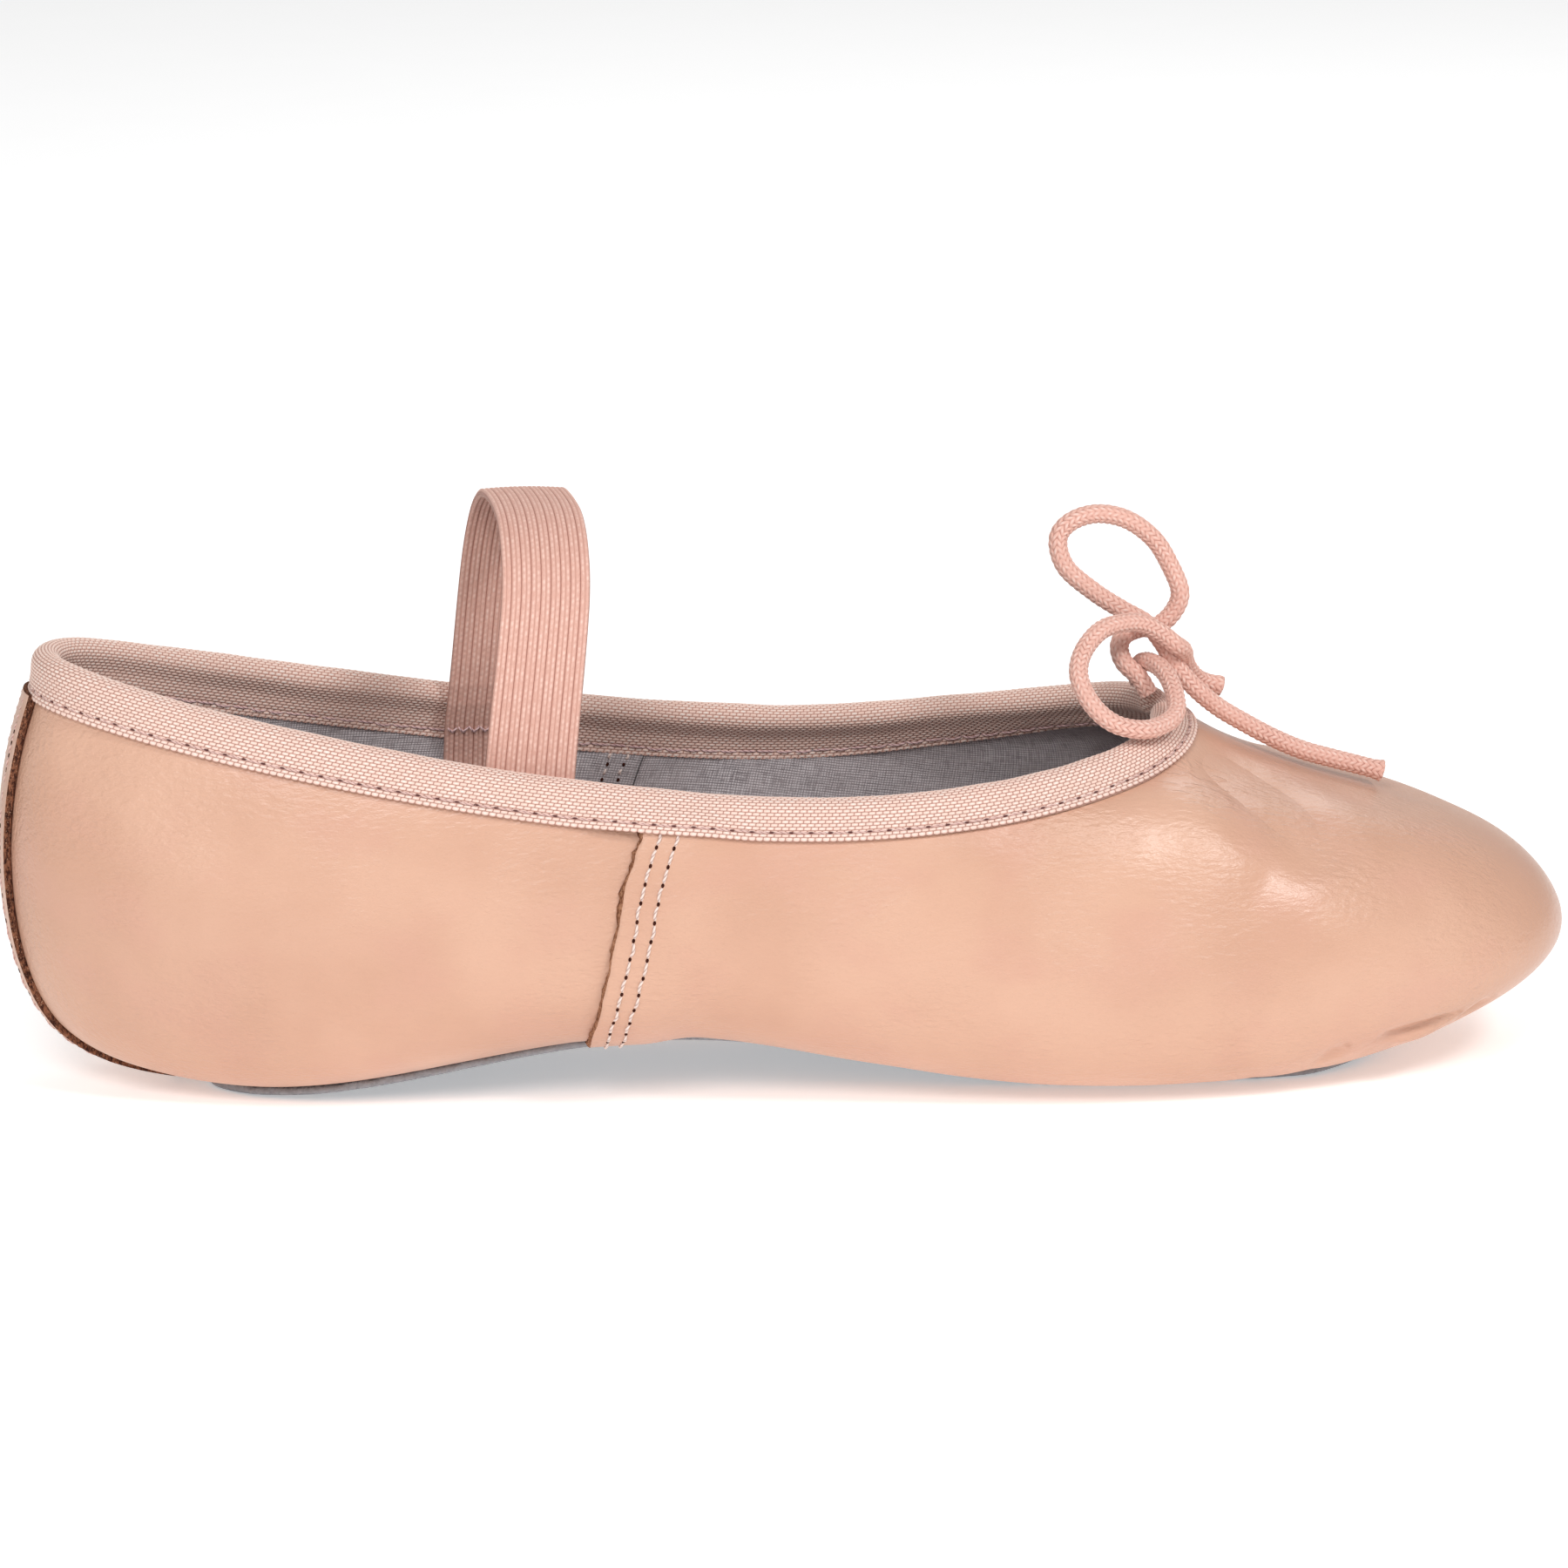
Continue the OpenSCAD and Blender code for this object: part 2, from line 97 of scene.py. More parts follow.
class Shader:
    """A Principled material and short calls that add nodes to it."""

    def __init__(self, name, **settings):
        self.material = bpy.data.materials.new(name)
        self.material.use_nodes = True
        self.tree = self.material.node_tree
        self.bsdf = self.tree.nodes["Principled BSDF"]
        self.set(**settings)

    def set(self, **settings):
        """Puts values or sockets on the shader's inputs, named with _ for spaces."""
        for name, value in settings.items():
            self.put(self.bsdf.inputs[name.replace("_", " ")], value)

    def put(self, socket, value):
        if isinstance(value, bpy.types.NodeSocket):
            self.tree.links.new(value, socket)
        else:
            socket.default_value = value

    def node(self, kind, settings=None, inputs=None):
        node = self.tree.nodes.new("ShaderNode" + kind)
        for name, value in (settings or {}).items():
            setattr(node, name, value)
        for key, value in (inputs or {}).items():
            self.put(node.inputs[key], value)
        return node

    def place(self, stretch=(1, 1, 1), turn=(0, 0, 0), source="Object"):
        """Coordinates in metres (or the UV's millimetres), stretched and turned."""
        coordinates = self.node("TexCoord").outputs[source]
        inputs = {"Vector": coordinates, "Scale": stretch, "Rotation": turn}
        return self.node("Mapping", None, inputs).outputs[0]

    def noise(self, where, scale, detail=2.0, roughness=0.5):
        inputs = {"Vector": where, "Scale": scale, "Detail": detail, "Roughness": roughness}
        return self.node("TexNoise", None, inputs).outputs["Fac"]

    def math(self, operation, a, b=0.0):
        return self.node("Math", {"operation": operation}, {0: a, 1: b}).outputs[0]

    def ramp(self, value, low, high):
        """Value from low..high taken to 0..1, smoothly."""
        inputs = {"Value": value, "From Min": low, "From Max": high}
        settings = {"interpolation_type": "SMOOTHSTEP", "clamp": True}
        return self.node("MapRange", settings, inputs).outputs[0]

    def mix(self, factor, a, b):
        """Colour a where the factor is 0, b where it is 1."""
        return self.node("Mix", {"data_type": "RGBA"}, {0: factor, 6: a, 7: b}).outputs[2]

    def spot(self, centre, radius):
        """1 at a place in the frame, falling to 0 a radius away."""
        inputs = {0: self.place(), 1: centre}
        away = self.node("VectorMath", {"operation": "DISTANCE"}, inputs).outputs["Value"]
        return self.ramp(away, radius, radius * 0.3)

    def attribute(self, name):
        return self.node("Attribute", {"attribute_name": name}).outputs["Fac"]

    def bump(self, height, depth_mm, below=None):
        inputs = {"Height": height, "Distance": depth_mm * MM, "Strength": 1.0}
        if below is not None:
            inputs["Normal"] = below
        return self.node("Bump", None, inputs).outputs[0]

    def threads(self, pitch, gap):
        """0 to 1 height of a plain weave in the UV map, whose unit is a millimetre."""
        uv = self.node("SeparateXYZ", None, {0: self.node("TexCoord").outputs["UV"]})
        turn = math.pi / pitch
        across = self.math("SINE", self.math("MULTIPLY", uv.outputs[0], turn))
        down = self.math("SINE", self.math("MULTIPLY", uv.outputs[1], turn))
        height = self.math("ABSOLUTE", self.math("MULTIPLY", across, down))
        return self.math("POWER", height, gap)


# ---- Materials --------------------------------------------------------------
CREASES_AT, CREASES_RADIUS = (0.0585, -0.0215, 0.045), 0.011  # where the bow pulls the leather
CREASE_TURN = (0, 0.5, 0.6)


def leather():
    """Smooth nude leather: soft cloudy tone, fine drawn grain, faint pores."""
    m = Shader("upper_leather", Specular_IOR_Level=0.5)
    cloud = m.noise(m.place(), 34, 3)
    tone = m.mix(m.ramp(cloud, 0.32, 0.68), srgb(216, 167, 141), srgb(227, 180, 154))
    blush = m.ramp(m.noise(m.place((1, 1, 1.4)), 75, 2), 0.45, 0.75)
    tone = m.mix(m.math("MULTIPLY", blush, 0.5), tone, srgb(221, 169, 147))
    pores = m.noise(m.place((1.0, 1.0, 1.6)), 2600, 2, 0.6)
    tone = m.mix(m.math("MULTIPLY", m.ramp(pores, 0.55, 0.75), 0.2), tone, srgb(208, 160, 136))
    m.set(Base_Color=tone)
    patches = m.ramp(m.noise(m.place(), 48, 2), 0.4, 0.62)
    m.set(Roughness=m.math("ADD", m.math("MULTIPLY", patches, 0.07), 0.3))
    drawn = m.noise(m.place((0.42, 1, 1)), 1300, 3, 0.55)
    grain = m.math("MULTIPLY", drawn, m.math("ADD", m.math("MULTIPLY", patches, 0.7), 0.3))
    fine = m.bump(grain, 0.3)
    creased = m.noise(m.place((0.22, 1, 1), CREASE_TURN), 700, 2)
    fold = m.math("MULTIPLY", m.ramp(creased, 0.5, 0.62), m.spot(CREASES_AT, CREASES_RADIUS))
    m.set(Normal=m.bump(pores, 0.03, m.bump(fold, 0.1, fine)))
    return m.material


def cut_leather(name, dark, light):
    """The fibrous edge that a knife leaves on leather."""
    m = Shader(name, Specular_IOR_Level=0.2, Roughness=0.85)
    fibre = m.noise(m.place((1, 1, 0.5)), 2300, 4, 0.75)
    tone = m.mix(m.ramp(fibre, 0.4, 0.62), srgb(*dark), srgb(*light))
    flecks = m.ramp(m.noise(m.place(), 4200, 2), 0.62, 0.75)
    m.set(Base_Color=m.mix(flecks, tone, srgb(206, 164, 136)))
    m.set(Normal=m.bump(fibre, 0.12))
    return m.material


def stay_leather():
    """The face of the back stay, the same nude leather with a closer grain."""
    m = Shader("stay_leather", Specular_IOR_Level=0.45, Roughness=0.45)
    cloud = m.noise(m.place(), 90, 3)
    tone = m.mix(m.ramp(cloud, 0.35, 0.65), srgb(214, 172, 150), srgb(228, 188, 167))
    pebble = m.noise(m.place(), 1700, 3, 0.6)
    m.set(Base_Color=m.mix(m.math("MULTIPLY", m.ramp(pebble, 0.5, 0.7), 0.5), tone,
                           srgb(200, 154, 132)))
    m.set(Normal=m.bump(pebble, 0.08))
    return m.material


def cotton():
    """Pale grey lining: uneven plain weave with slubs, and painted shade in the gaps of the weave.
    """
    m = Shader("cotton_lining", Roughness=0.9, Specular_IOR_Level=0.2, Sheen_Weight=0.25,
               Sheen_Roughness=0.6)
    weave = m.threads(0.42, 0.6)
    slub_u = m.noise(m.place((0.35, 4.2, 1), source="UV"), 1.0, 2)
    slub_v = m.noise(m.place((4.2, 0.35, 1), source="UV"), 1.0, 2)
    uneven = m.math("MULTIPLY", m.math("ADD", slub_u, slub_v), 0.5)
    # Painted shade in the weave's gaps, together with the slubs' own unevenness.
    shade = m.math("MULTIPLY", weave, m.ramp(uneven, 0.3, 0.65))
    tone = m.mix(m.ramp(shade, 0.05, 0.6), srgb(160, 150, 153), srgb(232, 224, 226))
    blotch = m.ramp(m.noise(m.place(), 70, 2), 0.35, 0.7)
    m.set(Base_Color=m.mix(m.math("MULTIPLY", blotch, 0.4), tone, srgb(196, 182, 182)))
    m.set(Normal=m.bump(m.math("ADD", weave, uneven), 0.09))
    return m.material


def suede():
    """Grey-blue napped suede, paler along its rounded rim."""
    m = Shader("suede_sole", Roughness=0.95, Specular_IOR_Level=0.15, Sheen_Weight=0.5,
               Sheen_Roughness=0.45, Sheen_Tint=srgb(220, 224, 232))
    nap = m.noise(m.place(), 1500, 5, 0.75)
    swirl = m.noise(m.place((1, 2.4, 1)), 120, 3)
    tone = m.mix(m.ramp(nap, 0.36, 0.62), srgb(84, 90, 98), srgb(164, 168, 176))
    tone = m.mix(m.math("MULTIPLY", m.ramp(swirl, 0.4, 0.7), 0.5), tone, srgb(122, 126, 134))
    rim = m.math("MULTIPLY", m.ramp(m.attribute("rim"), 0.2, 1.0), 0.6)
    m.set(Base_Color=m.mix(rim, tone, srgb(196, 196, 200)))
    m.set(Normal=m.bump(nap, 0.22))
    return m.material


def board():
    """Pressed fibre board and felt."""
    m = Shader("sole_board", Roughness=0.92, Specular_IOR_Level=0.2)
    fibre = m.noise(m.place((1, 0.35, 1)), 1400, 5, 0.7)
    m.set(Base_Color=m.mix(m.ramp(fibre, 0.35, 0.65), srgb(150, 122, 92), srgb(196, 170, 136)))
    m.set(Normal=m.bump(fibre, 0.12))
    return m.material


def woven(name, low, high, bright):
    """Cloth whose relief attribute runs from the gaps, 0, to the knuckles, 1. Its colour has painted
    shade in the gaps, a painted highlight on the knuckle tops and painted shade in the needle holes.
    """
    m = Shader(name, Roughness=0.72, Specular_IOR_Level=0.28, Sheen_Weight=0.35,
               Sheen_Roughness=0.5, Sheen_Tint=srgb(255, 226, 214))
    relief = m.attribute("relief")
    # Painted shade: the weave's gaps take the darker colour, the knuckles the paler one.
    tone = m.mix(m.ramp(relief, 0.0, 0.55), srgb(*low), srgb(*high))
    # Painted highlight: pale noisy spots laid on the knuckle tops.
    glint = m.ramp(m.noise(m.place(), 900, 2), 0.3, 0.7)
    shine = m.math("MULTIPLY", m.ramp(relief, 0.55, 1.0), glint)
    tone = m.mix(shine, tone, srgb(*bright))
    # Painted shade: needle holes in the tape coloured dark red-brown.
    hole = m.ramp(m.attribute("hole"), 0.25, 0.75)
    m.set(Base_Color=m.mix(hole, tone, srgb(96, 52, 52)))
    fuzz = m.noise(m.place(), 4200, 3, 0.7)
    m.set(Normal=m.bump(fuzz, 0.05))
    return m.material


def thread(name, dark, light):
    """Twisted sewing thread, with painted shade in the grooves between its plies."""
    m = Shader(name, Roughness=0.6, Specular_IOR_Level=0.35, Sheen_Weight=0.3)
    ply = m.attribute("relief")
    m.set(Base_Color=m.mix(m.ramp(ply, 0.1, 0.8), srgb(*dark), srgb(*light)))
    m.set(Normal=m.bump(m.noise(m.place(), 6000, 2), 0.02))
    return m.material


def painted_hole_shade():
    """Painted shade inside a needle hole: a dark oval laid in its dent."""
    m = Shader("needle_hole_shade", Roughness=0.9, Specular_IOR_Level=0.1)
    grit = m.noise(m.place(), 5000, 2)
    m.set(Base_Color=m.mix(m.ramp(grit, 0.35, 0.65), srgb(38, 14, 10), srgb(84, 42, 32)))
    return m.material


LEATHER = leather()
CUT_EDGE = cut_leather("cut_edge", (118, 70, 46), (190, 140, 108))
STAY = stay_leather()
STAY_EDGE = cut_leather("stay_edge", (58, 26, 18), (150, 98, 72))
COTTON = cotton()
SUEDE = suede()
BOARD = board()
# Woven colours, in order: gap colour holding painted shade, knuckle colour, painted highlight
# colour.
TAPE = woven("binding_tape", (186, 138, 124), (253, 218, 203), (255, 246, 238))
CORD = woven("drawstring_cord", (184, 122, 108), (240, 188, 172), (253, 222, 210))
ELASTIC = woven("strap_elastic", (172, 118, 104), (228, 178, 162), (252, 214, 200))
# Thread colours: the darker one is painted shade between the plies, the lighter one the thread's
# own.
THREAD = thread("thread", (190, 156, 146), (248, 228, 218))
TAPE_THREAD = thread("tape_thread", (176, 130, 124), (234, 198, 188))
MAUVE_THREAD = thread("mauve_thread", (138, 92, 98), (226, 192, 190))
HOLE_SHADE = painted_hole_shade()


# ---- The last: a net of cubic B-splines -------------------------------------
# Half rings from heel to toe, near side; the two feather rings have no height.
MARGIN, FEATHER_Z = 6.0, 1.6
SPINE = (45.0, 185.0)
FEATHER = [
    [28, 0], [29, -11], [46, -19], [72, -18.5], [100, -16],
    [128, -20], [166, -27], [200, -20], [208, 0],
]
LOW = [
    [5, 0, 6.5], [9, -13, 6.5], [40, -25, 5.4], [72, -27, 5.2], [100, -26, 4],
    [130, -31, 2.2], [168, -38, 2.2], [212, -27, 4], [223.5, 0, 4.6],
]
MIDDLE = [
    [0, 0, 30], [3, -16, 30], [36, -31, 25], [70, -34, 23], [100, -35.5, 20],
    [132, -39, 18], [176, -42, 17], [230, -33, 15], [242, 0, 17],
]
SHOULDER = [
    [2, 0, 49], [5, -14, 49], [34, -27, 44], [66, -32, 40], [96, -34, 36],
    [130, -36, 36], [174, -34, 41], [218, -23, 36.5], [230.5, 0, 33.5],
]
COLLAR = [
    [4.5, 0, 57], [8, -12.5, 57], [33, -24, 52], [64, -30, 46.5], [94, -33, 43],
    [126, -34, 42], [166, -26, 48], [186, -13, 43.5], [192, 0, 42],
]
RIM = [
    [6, 0, 63], [10, -13, 62.5], [33, -22, 56.5], [63, -28.5, 50.5], [93, -31.5, 46],
    [123, -32, 43.5], [152, -30, 45.5], [170, -18, 52], [172, 0, 54.5],
]
COLUMNS, TOE, TOP, EDGE = 16, 8, 6, 5.85
ARCH = (32.0, 160.0, 7.0)  # from, to, lift
SPRING = (186.0, 46.0, 7.0)  # from, run, lift
STEP = 0.02  # for slopes taken as differences


def smooth(a):
    c = np.clip(a, 0, 1)
    return c * c * (3 - 2 * c)


def bottom(x):
    """Height of the sole's underside above the ground."""
    arch = np.clip((x - ARCH[0]) / (ARCH[1] - ARCH[0]), 0, 1)
    spring = np.clip((x - SPRING[0]) / SPRING[1], 0, 1)
    return ARCH[2] * np.sin(math.pi * arch) ** 2 + SPRING[2] * spring**2


def inset(points, by):
    """Feather points (n, 2) moved towards the shoe's spine by a distance."""
    foot = np.stack([np.clip(points[:, 0], *SPINE), np.zeros(len(points))], 1)
    arm = points - foot
    reach = np.linalg.norm(arm, axis=1, keepdims=True)
    return foot + arm * (reach - by) / reach


def ring(half):
    half = np.array(half, float)
    mirrored = half[-2:0:-1] * [1, -1, 1]
    return np.concatenate([half, mirrored])


def feather_ring(by):
    flat = inset(np.array(FEATHER, float), by)
    return ring(np.column_stack([flat, np.full(len(flat), FEATHER_Z)]))


RINGS = np.array([feather_ring(MARGIN), feather_ring(0), ring(LOW), ring(MIDDLE),
                  ring(SHOULDER), ring(COLLAR), ring(RIM)])


def weights(f):
    """The four cubic B-spline weights at fraction f."""
    return np.stack([(1 - f) ** 3, 3 * f**3 - 6 * f**2 + 4,
                     -3 * f**3 + 3 * f**2 + 3 * f + 1, f**3]) / 6


def last(s, v):
    """The quarters' outer face at column s (0 heel, 8 toe) and height v (6 rim)."""
    s, v = np.broadcast_arrays(np.asarray(s, float), np.asarray(v, float))
    shape, s, v = s.shape, s.ravel() % COLUMNS, v.ravel()
    column = np.floor(s).astype(int)
    picked = (column + np.arange(-1, 3)[:, None]) % COLUMNS
    rows = np.einsum("kn,rkni->rni", weights(s - column), RINGS[:, picked])
    below = 2 * rows[0] - rows[1]
    above = 2 * rows[-1] - rows[-2]
    rows = np.concatenate([below[None], rows, above[None]])
    level = np.clip(np.floor(v).astype(int), 0, TOP - 1)
    picked = rows[level + np.arange(4)[:, None], np.arange(len(s))]
    p = np.einsum("kn,kni->ni", weights(v - level), picked)
    p[:, 2] += bottom(p[:, 0]) * (1 - smooth((v - 1.2) / 2.3))
    return p.reshape(*shape, 3)


def unit(p):
    return p / np.maximum(np.linalg.norm(p, axis=-1, keepdims=True), 1e-12)


def upward(s, v):
    return unit(last(s, np.minimum(v + STEP, TOP)) - last(s, np.maximum(v - STEP, 0)))


def outward(s, v):
    return unit(np.cross(unit(last(s + STEP, v) - last(s - STEP, v)), upward(s, v)))


def skin(s, v, off):
    return last(s, v) + outward(s, v) * np.asarray(off)[..., None]


def near_half(s):
    """The column on the near side that mirrors s."""
    s = np.asarray(s, float) % COLUMNS
    return np.where(s > TOE, COLUMNS - s, s)


def field(points, wavelength, seed, waves=14):
    """A smooth random height at each point, about -1 to 1: a sum of plane waves."""
    draw = np.random.default_rng(seed)
    directions = unit(draw.normal(size=(waves, 3)))
    lengths = wavelength * draw.uniform(0.7, 1.5, waves)
    phases = draw.uniform(0, 2 * math.pi, waves)
    angle = points @ (directions * (2 * math.pi / lengths)[:, None]).T + phases
    return np.sin(angle).sum(-1) / math.sqrt(waves)


# ---- Mesh kit ---------------------------------------------------------------
def to_frame(points):
    """Millimetres from the heel, in metres in the frame."""
    return (np.asarray(points, float) - [X_MID, 0, 0]) * MM


def grid_faces(rows, columns, start=0, wrap_rows=False, wrap_columns=False, flip=False):
    """Quads of a grid of points numbered row by row."""
    i = np.arange(rows if wrap_rows else rows - 1)[:, None]
    j = np.arange(columns if wrap_columns else columns - 1)[None, :]
    a = start + i * columns + j
    b = start + i * columns + (j + 1) % columns
    c = start + (i + 1) % rows * columns + (j + 1) % columns
    d = start + (i + 1) % rows * columns + j
    quads = np.stack([a, b, c, d], -1).reshape(-1, 4)
    return quads[:, ::-1] if flip else quads


def make_piece(name, points, faces, material, slot, body="shoe", replaces=(),
               uv=None, attributes=None, second=None):
    """One mesh object on a body. second is (material, one flag per face)."""
    mesh = bpy.data.meshes.new(name)
    faces = [tuple(int(k) for k in f) for f in faces]
    mesh.from_pydata(to_frame(points).tolist(), [], faces)
    mesh.materials.append(material)
    if second is not None:
        mesh.materials.append(second[0])
        mesh.polygons.foreach_set("material_index", np.asarray(second[1], np.int32))
    if uv is not None:
        corner = np.zeros(len(mesh.loops), np.int32)
        mesh.loops.foreach_get("vertex_index", corner)
        layer = mesh.uv_layers.new(name="uv")
        layer.data.foreach_set("uv", uv[corner].astype(np.float32).ravel())
    for key, values in (attributes or {}).items():
        layer = mesh.attributes.new(key, "FLOAT", "POINT")
        layer.data.foreach_set("value", np.asarray(values, np.float32).ravel())
    mesh.polygons.foreach_set("use_smooth", np.full(len(mesh.polygons), True))
    mesh.update()
    piece = bpy.data.objects.new(name, mesh)
    bpy.context.scene.collection.objects.link(piece)
    if body:
        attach(piece, body)
    if replaces:
        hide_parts(*replaces)
    return piece


def lengths_along(points, axis):
    """Distance run along an axis of a grid of points, from 0."""
    step = np.linalg.norm(np.diff(points, axis=axis), axis=-1)
    return np.concatenate([np.zeros_like(np.take(step, [0], axis)), np.cumsum(step, axis)], axis)


def sheet_uv(grid):
    """UV in millimetres: along the middle row, and up each column."""
    middle = len(grid) // 2
    u = lengths_along(grid, 1)[middle][None, :].repeat(len(grid), 0)
    return np.stack([u, lengths_along(grid, 0)], -1)


RIM_STRIPS = 4


def edge_loop(index):
    """The numbers round the edge of a grid of numbers."""
    return np.concatenate([index[0], index[1:, -1], index[-1, -2::-1], index[-2:0:-1, 0]])


def slab(outer, inner, fray=0.0, seed=0):
    """A sheet with two faces and a rim: its points, faces, edge loop and count of rim faces."""
    rows, columns = outer.shape[:2]
    count = rows * columns
    index = np.arange(count).reshape(rows, columns)
    loop = edge_loop(index)
    ring_in = np.pad(index[1:-1, 1:-1], 1, mode="edge")
    face, back = outer.reshape(-1, 3), inner.reshape(-1, 3)
    away = unit(face[loop] - face[edge_loop(ring_in)])
    strips = []
    for k in range(1, RIM_STRIPS):
        share = k / RIM_STRIPS
        strip = face[loop] * (1 - share) + back[loop] * share
        strips.append(strip + away * (fray * (0.5 + field(strip, 1.3, seed + k)))[:, None])
    points = np.concatenate([face, back, *strips])
    levels = [loop] + [2 * count + k * len(loop) + np.arange(len(loop))
                       for k in range(RIM_STRIPS - 1)] + [loop + count]
    rim = np.concatenate([np.stack([a, b, np.roll(b, -1), np.roll(a, -1)], -1)
                          for a, b in zip(levels, levels[1:])])
    faces = np.concatenate([grid_faces(rows, columns),
                            grid_faces(rows, columns, count, flip=True), rim])
    return points, faces, loop, len(rim)


def slab_piece(name, outer, inner, material, slot, edge=None, fray=0.0, **more):
    """A slab with UVs; edge is the material of its rim, where that differs."""
    points, faces, loop, rim = slab(outer, inner, fray, seed=len(name))
    flat = sheet_uv(outer).reshape(-1, 2)
    uv = np.concatenate([flat, flat] + [flat[loop]] * (RIM_STRIPS - 1))
    second = None
    if edge is not None:
        second = (edge, np.arange(len(faces)) >= len(faces) - rim)
    return make_piece(name, points, faces, material, slot, uv=uv, second=second, **more)


def tube_faces(rings, sides):
    """Faces of a tube: its sides and a fan-free cap at each end."""
    ends = [tuple(range(sides))[::-1], tuple((rings - 1) * sides + k for k in range(sides))]
    return [tuple(f) for f in grid_faces(rings, sides, wrap_columns=True)] + ends


def smooth_line(route, spacing):
    """Catmull-Rom through the route's points, as points a spacing apart."""
    route = np.array(route, float)
    padded = np.concatenate([[2 * route[0] - route[1]], route, [2 * route[-1] - route[-2]]])
    t = np.linspace(0, 1, 16, endpoint=False)[:, None]
    spans = []
    for a, b, c, d in zip(padded, padded[1:], padded[2:], padded[3:]):
        spans.append(0.5 * (2 * b + (c - a) * t + (2 * a - 5 * b + 4 * c - d) * t**2
                            + (3 * b - a - 3 * c + d) * t**3))
    dense = np.concatenate([*spans, route[-1:]])
    return respaced(dense, spacing)


def respaced(line, spacing):
    along = lengths_along(line, 0)
    count = max(2, int(round(along[-1] / spacing)) + 1)
    at = np.linspace(0, along[-1], count)
    return np.stack([np.interp(at, along, line[:, k]) for k in range(3)], 1)


def carried_sides(line, first=(0, 1, 0)):
    """Two unit vectors square to the line at each point, which turn as little as it does."""
    run = unit(np.gradient(line, axis=0))
    side = np.array(first, float)
    sides = []
    for t in run:
        side = side - t * (side @ t)
        side /= np.linalg.norm(side)
        sides.append(side)
    sides = np.array(sides)
    return sides, np.cross(run, sides)


def swept(line, sides, radius, angle):
    """Rings of points round a line. sides are its two square vectors from carried_sides."""
    side, other = sides
    return (line[:, None] + side[:, None] * (radius * np.cos(angle))[..., None]
            + other[:, None] * (radius * np.sin(angle))[..., None])


# ---- Drawstring ends, tied in a bow -----------------------------------------
CORD_D = 2.8
ROUTE_NEAR = [
    [170, -4.5, 55], [168.5, -4, 57.5], [166.5, -3, 59.5], [166, -1.5, 61.5], [167, 0, 63],
    [169.5, 2, 63.5], [172.5, 3.5, 63.5], [175, 4, 65.5], [176, 4, 68.5], [174.5, 4.5, 72.5],
    [172, 4.5, 76.5], [168, 4.5, 79.5], [163.5, 4.5, 80.5], [159.5, 4, 79.5], [157.5, 3.5, 77],
    [158.5, 2.5, 73], [162.5, 1, 69.5], [166.5, -0.5, 67], [170, -1.5, 65], [172.5, -1.5, 62],
    [174.5, -1.5, 58.5], [177.5, -1.5, 55], [181, -1, 52], [185, -1, 49.5], [189.5, -1, 47],
    [194, -1, 45], [199, -1, 43.5], [202.5, -1, 42.5], [206, -1, 41.5],
]
ROUTE_FAR = [
    [170, 4.5, 55], [169.5, 3, 57], [169.5, 0.5, 58.5], [170, -2.5, 59.5], [171, -5.5, 59.5],
    [172, -8.5, 58.5], [172.5, -12, 56.5], [172, -15.5, 54.5], [169.5, -18.5, 53.5],
    [166, -21, 53.5], [162, -21, 54.5], [159, -19.5, 57], [157.5, -16.5, 60.5],
    [158.5, -13.5, 63.5], [161.5, -10.5, 66], [165, -8, 66.5], [168.5, -6, 66],
    [171.5, -5, 64.3], [173.8, -4.4, 62.4], [175.4, -2.2, 61], [176.2, 0.8, 59], [177.4, 3, 56.8],
    [179.2, 4.2, 55], [182.4, 4.6, 53.8],
]
BRAID_COLUMNS = 12  # round the cord, two to a chevron
BRAID_PITCH = 0.98  # along the cord, from one chevron to the next
BRAID_SLANT = 0.8  # pitches that a strand rises across its column
BRAID_SIDES = 60
BRAID_SPACING = 0.165
BRAID_DEPTH = 0.24
TIP_RUN, TIP_SPREAD = 1.6, 0.16  # how far the cut end spreads, and its share of the radius


def braid_height(turn, along):
    """0 in the gaps to 1 on the strands of a herringbone braid. turn is 0 to 1 round it."""
    column = BRAID_COLUMNS * turn + 0 * along
    across = column % 1
    slant = np.where(np.floor(column) % 2 < 1, across, 1 - across) * BRAID_SLANT
    strand = np.abs(np.sin(math.pi * (along / BRAID_PITCH + slant)))
    return strand**0.6 * (0.5 + 0.5 * np.sin(math.pi * across))


def cord_end(name, route):
    """One free end of the drawstring: a braided tube with a cut, slightly spread tip."""
    line = smooth_line(route, BRAID_SPACING)
    turn = np.arange(BRAID_SIDES) / BRAID_SIDES
    along = lengths_along(line, 0)
    height = braid_height(turn[None, :], along[:, None])
    spread = TIP_SPREAD * smooth((along - along[-1] + TIP_RUN) / TIP_RUN)[:, None]
    radius = CORD_D / 2 * (1 + spread) - BRAID_DEPTH * (0.8 - height)
    points = swept(line, carried_sides(line), radius, 2 * math.pi * turn)
    cap_in = line[-1] + (points[-1] - line[-1]) * 0.55 - unit(line[-1] - line[-2]) * 0.35
    points = np.concatenate([points.reshape(-1, 3), cap_in])
    # The cut end's cap gets relief 0.1, so it takes the dark gap colour: painted shade.
    relief = np.concatenate([height.ravel(), np.full(BRAID_SIDES, 0.1)])
    faces = tube_faces(len(line) + 1, BRAID_SIDES)
    piece = make_piece(name, points, faces, CORD, "drawstring_cord", replaces=(name,),
                       attributes={"relief": relief})
    return piece


cord_end("drawstring_end_near", ROUTE_NEAR)
cord_end("drawstring_end_far", ROUTE_FAR)


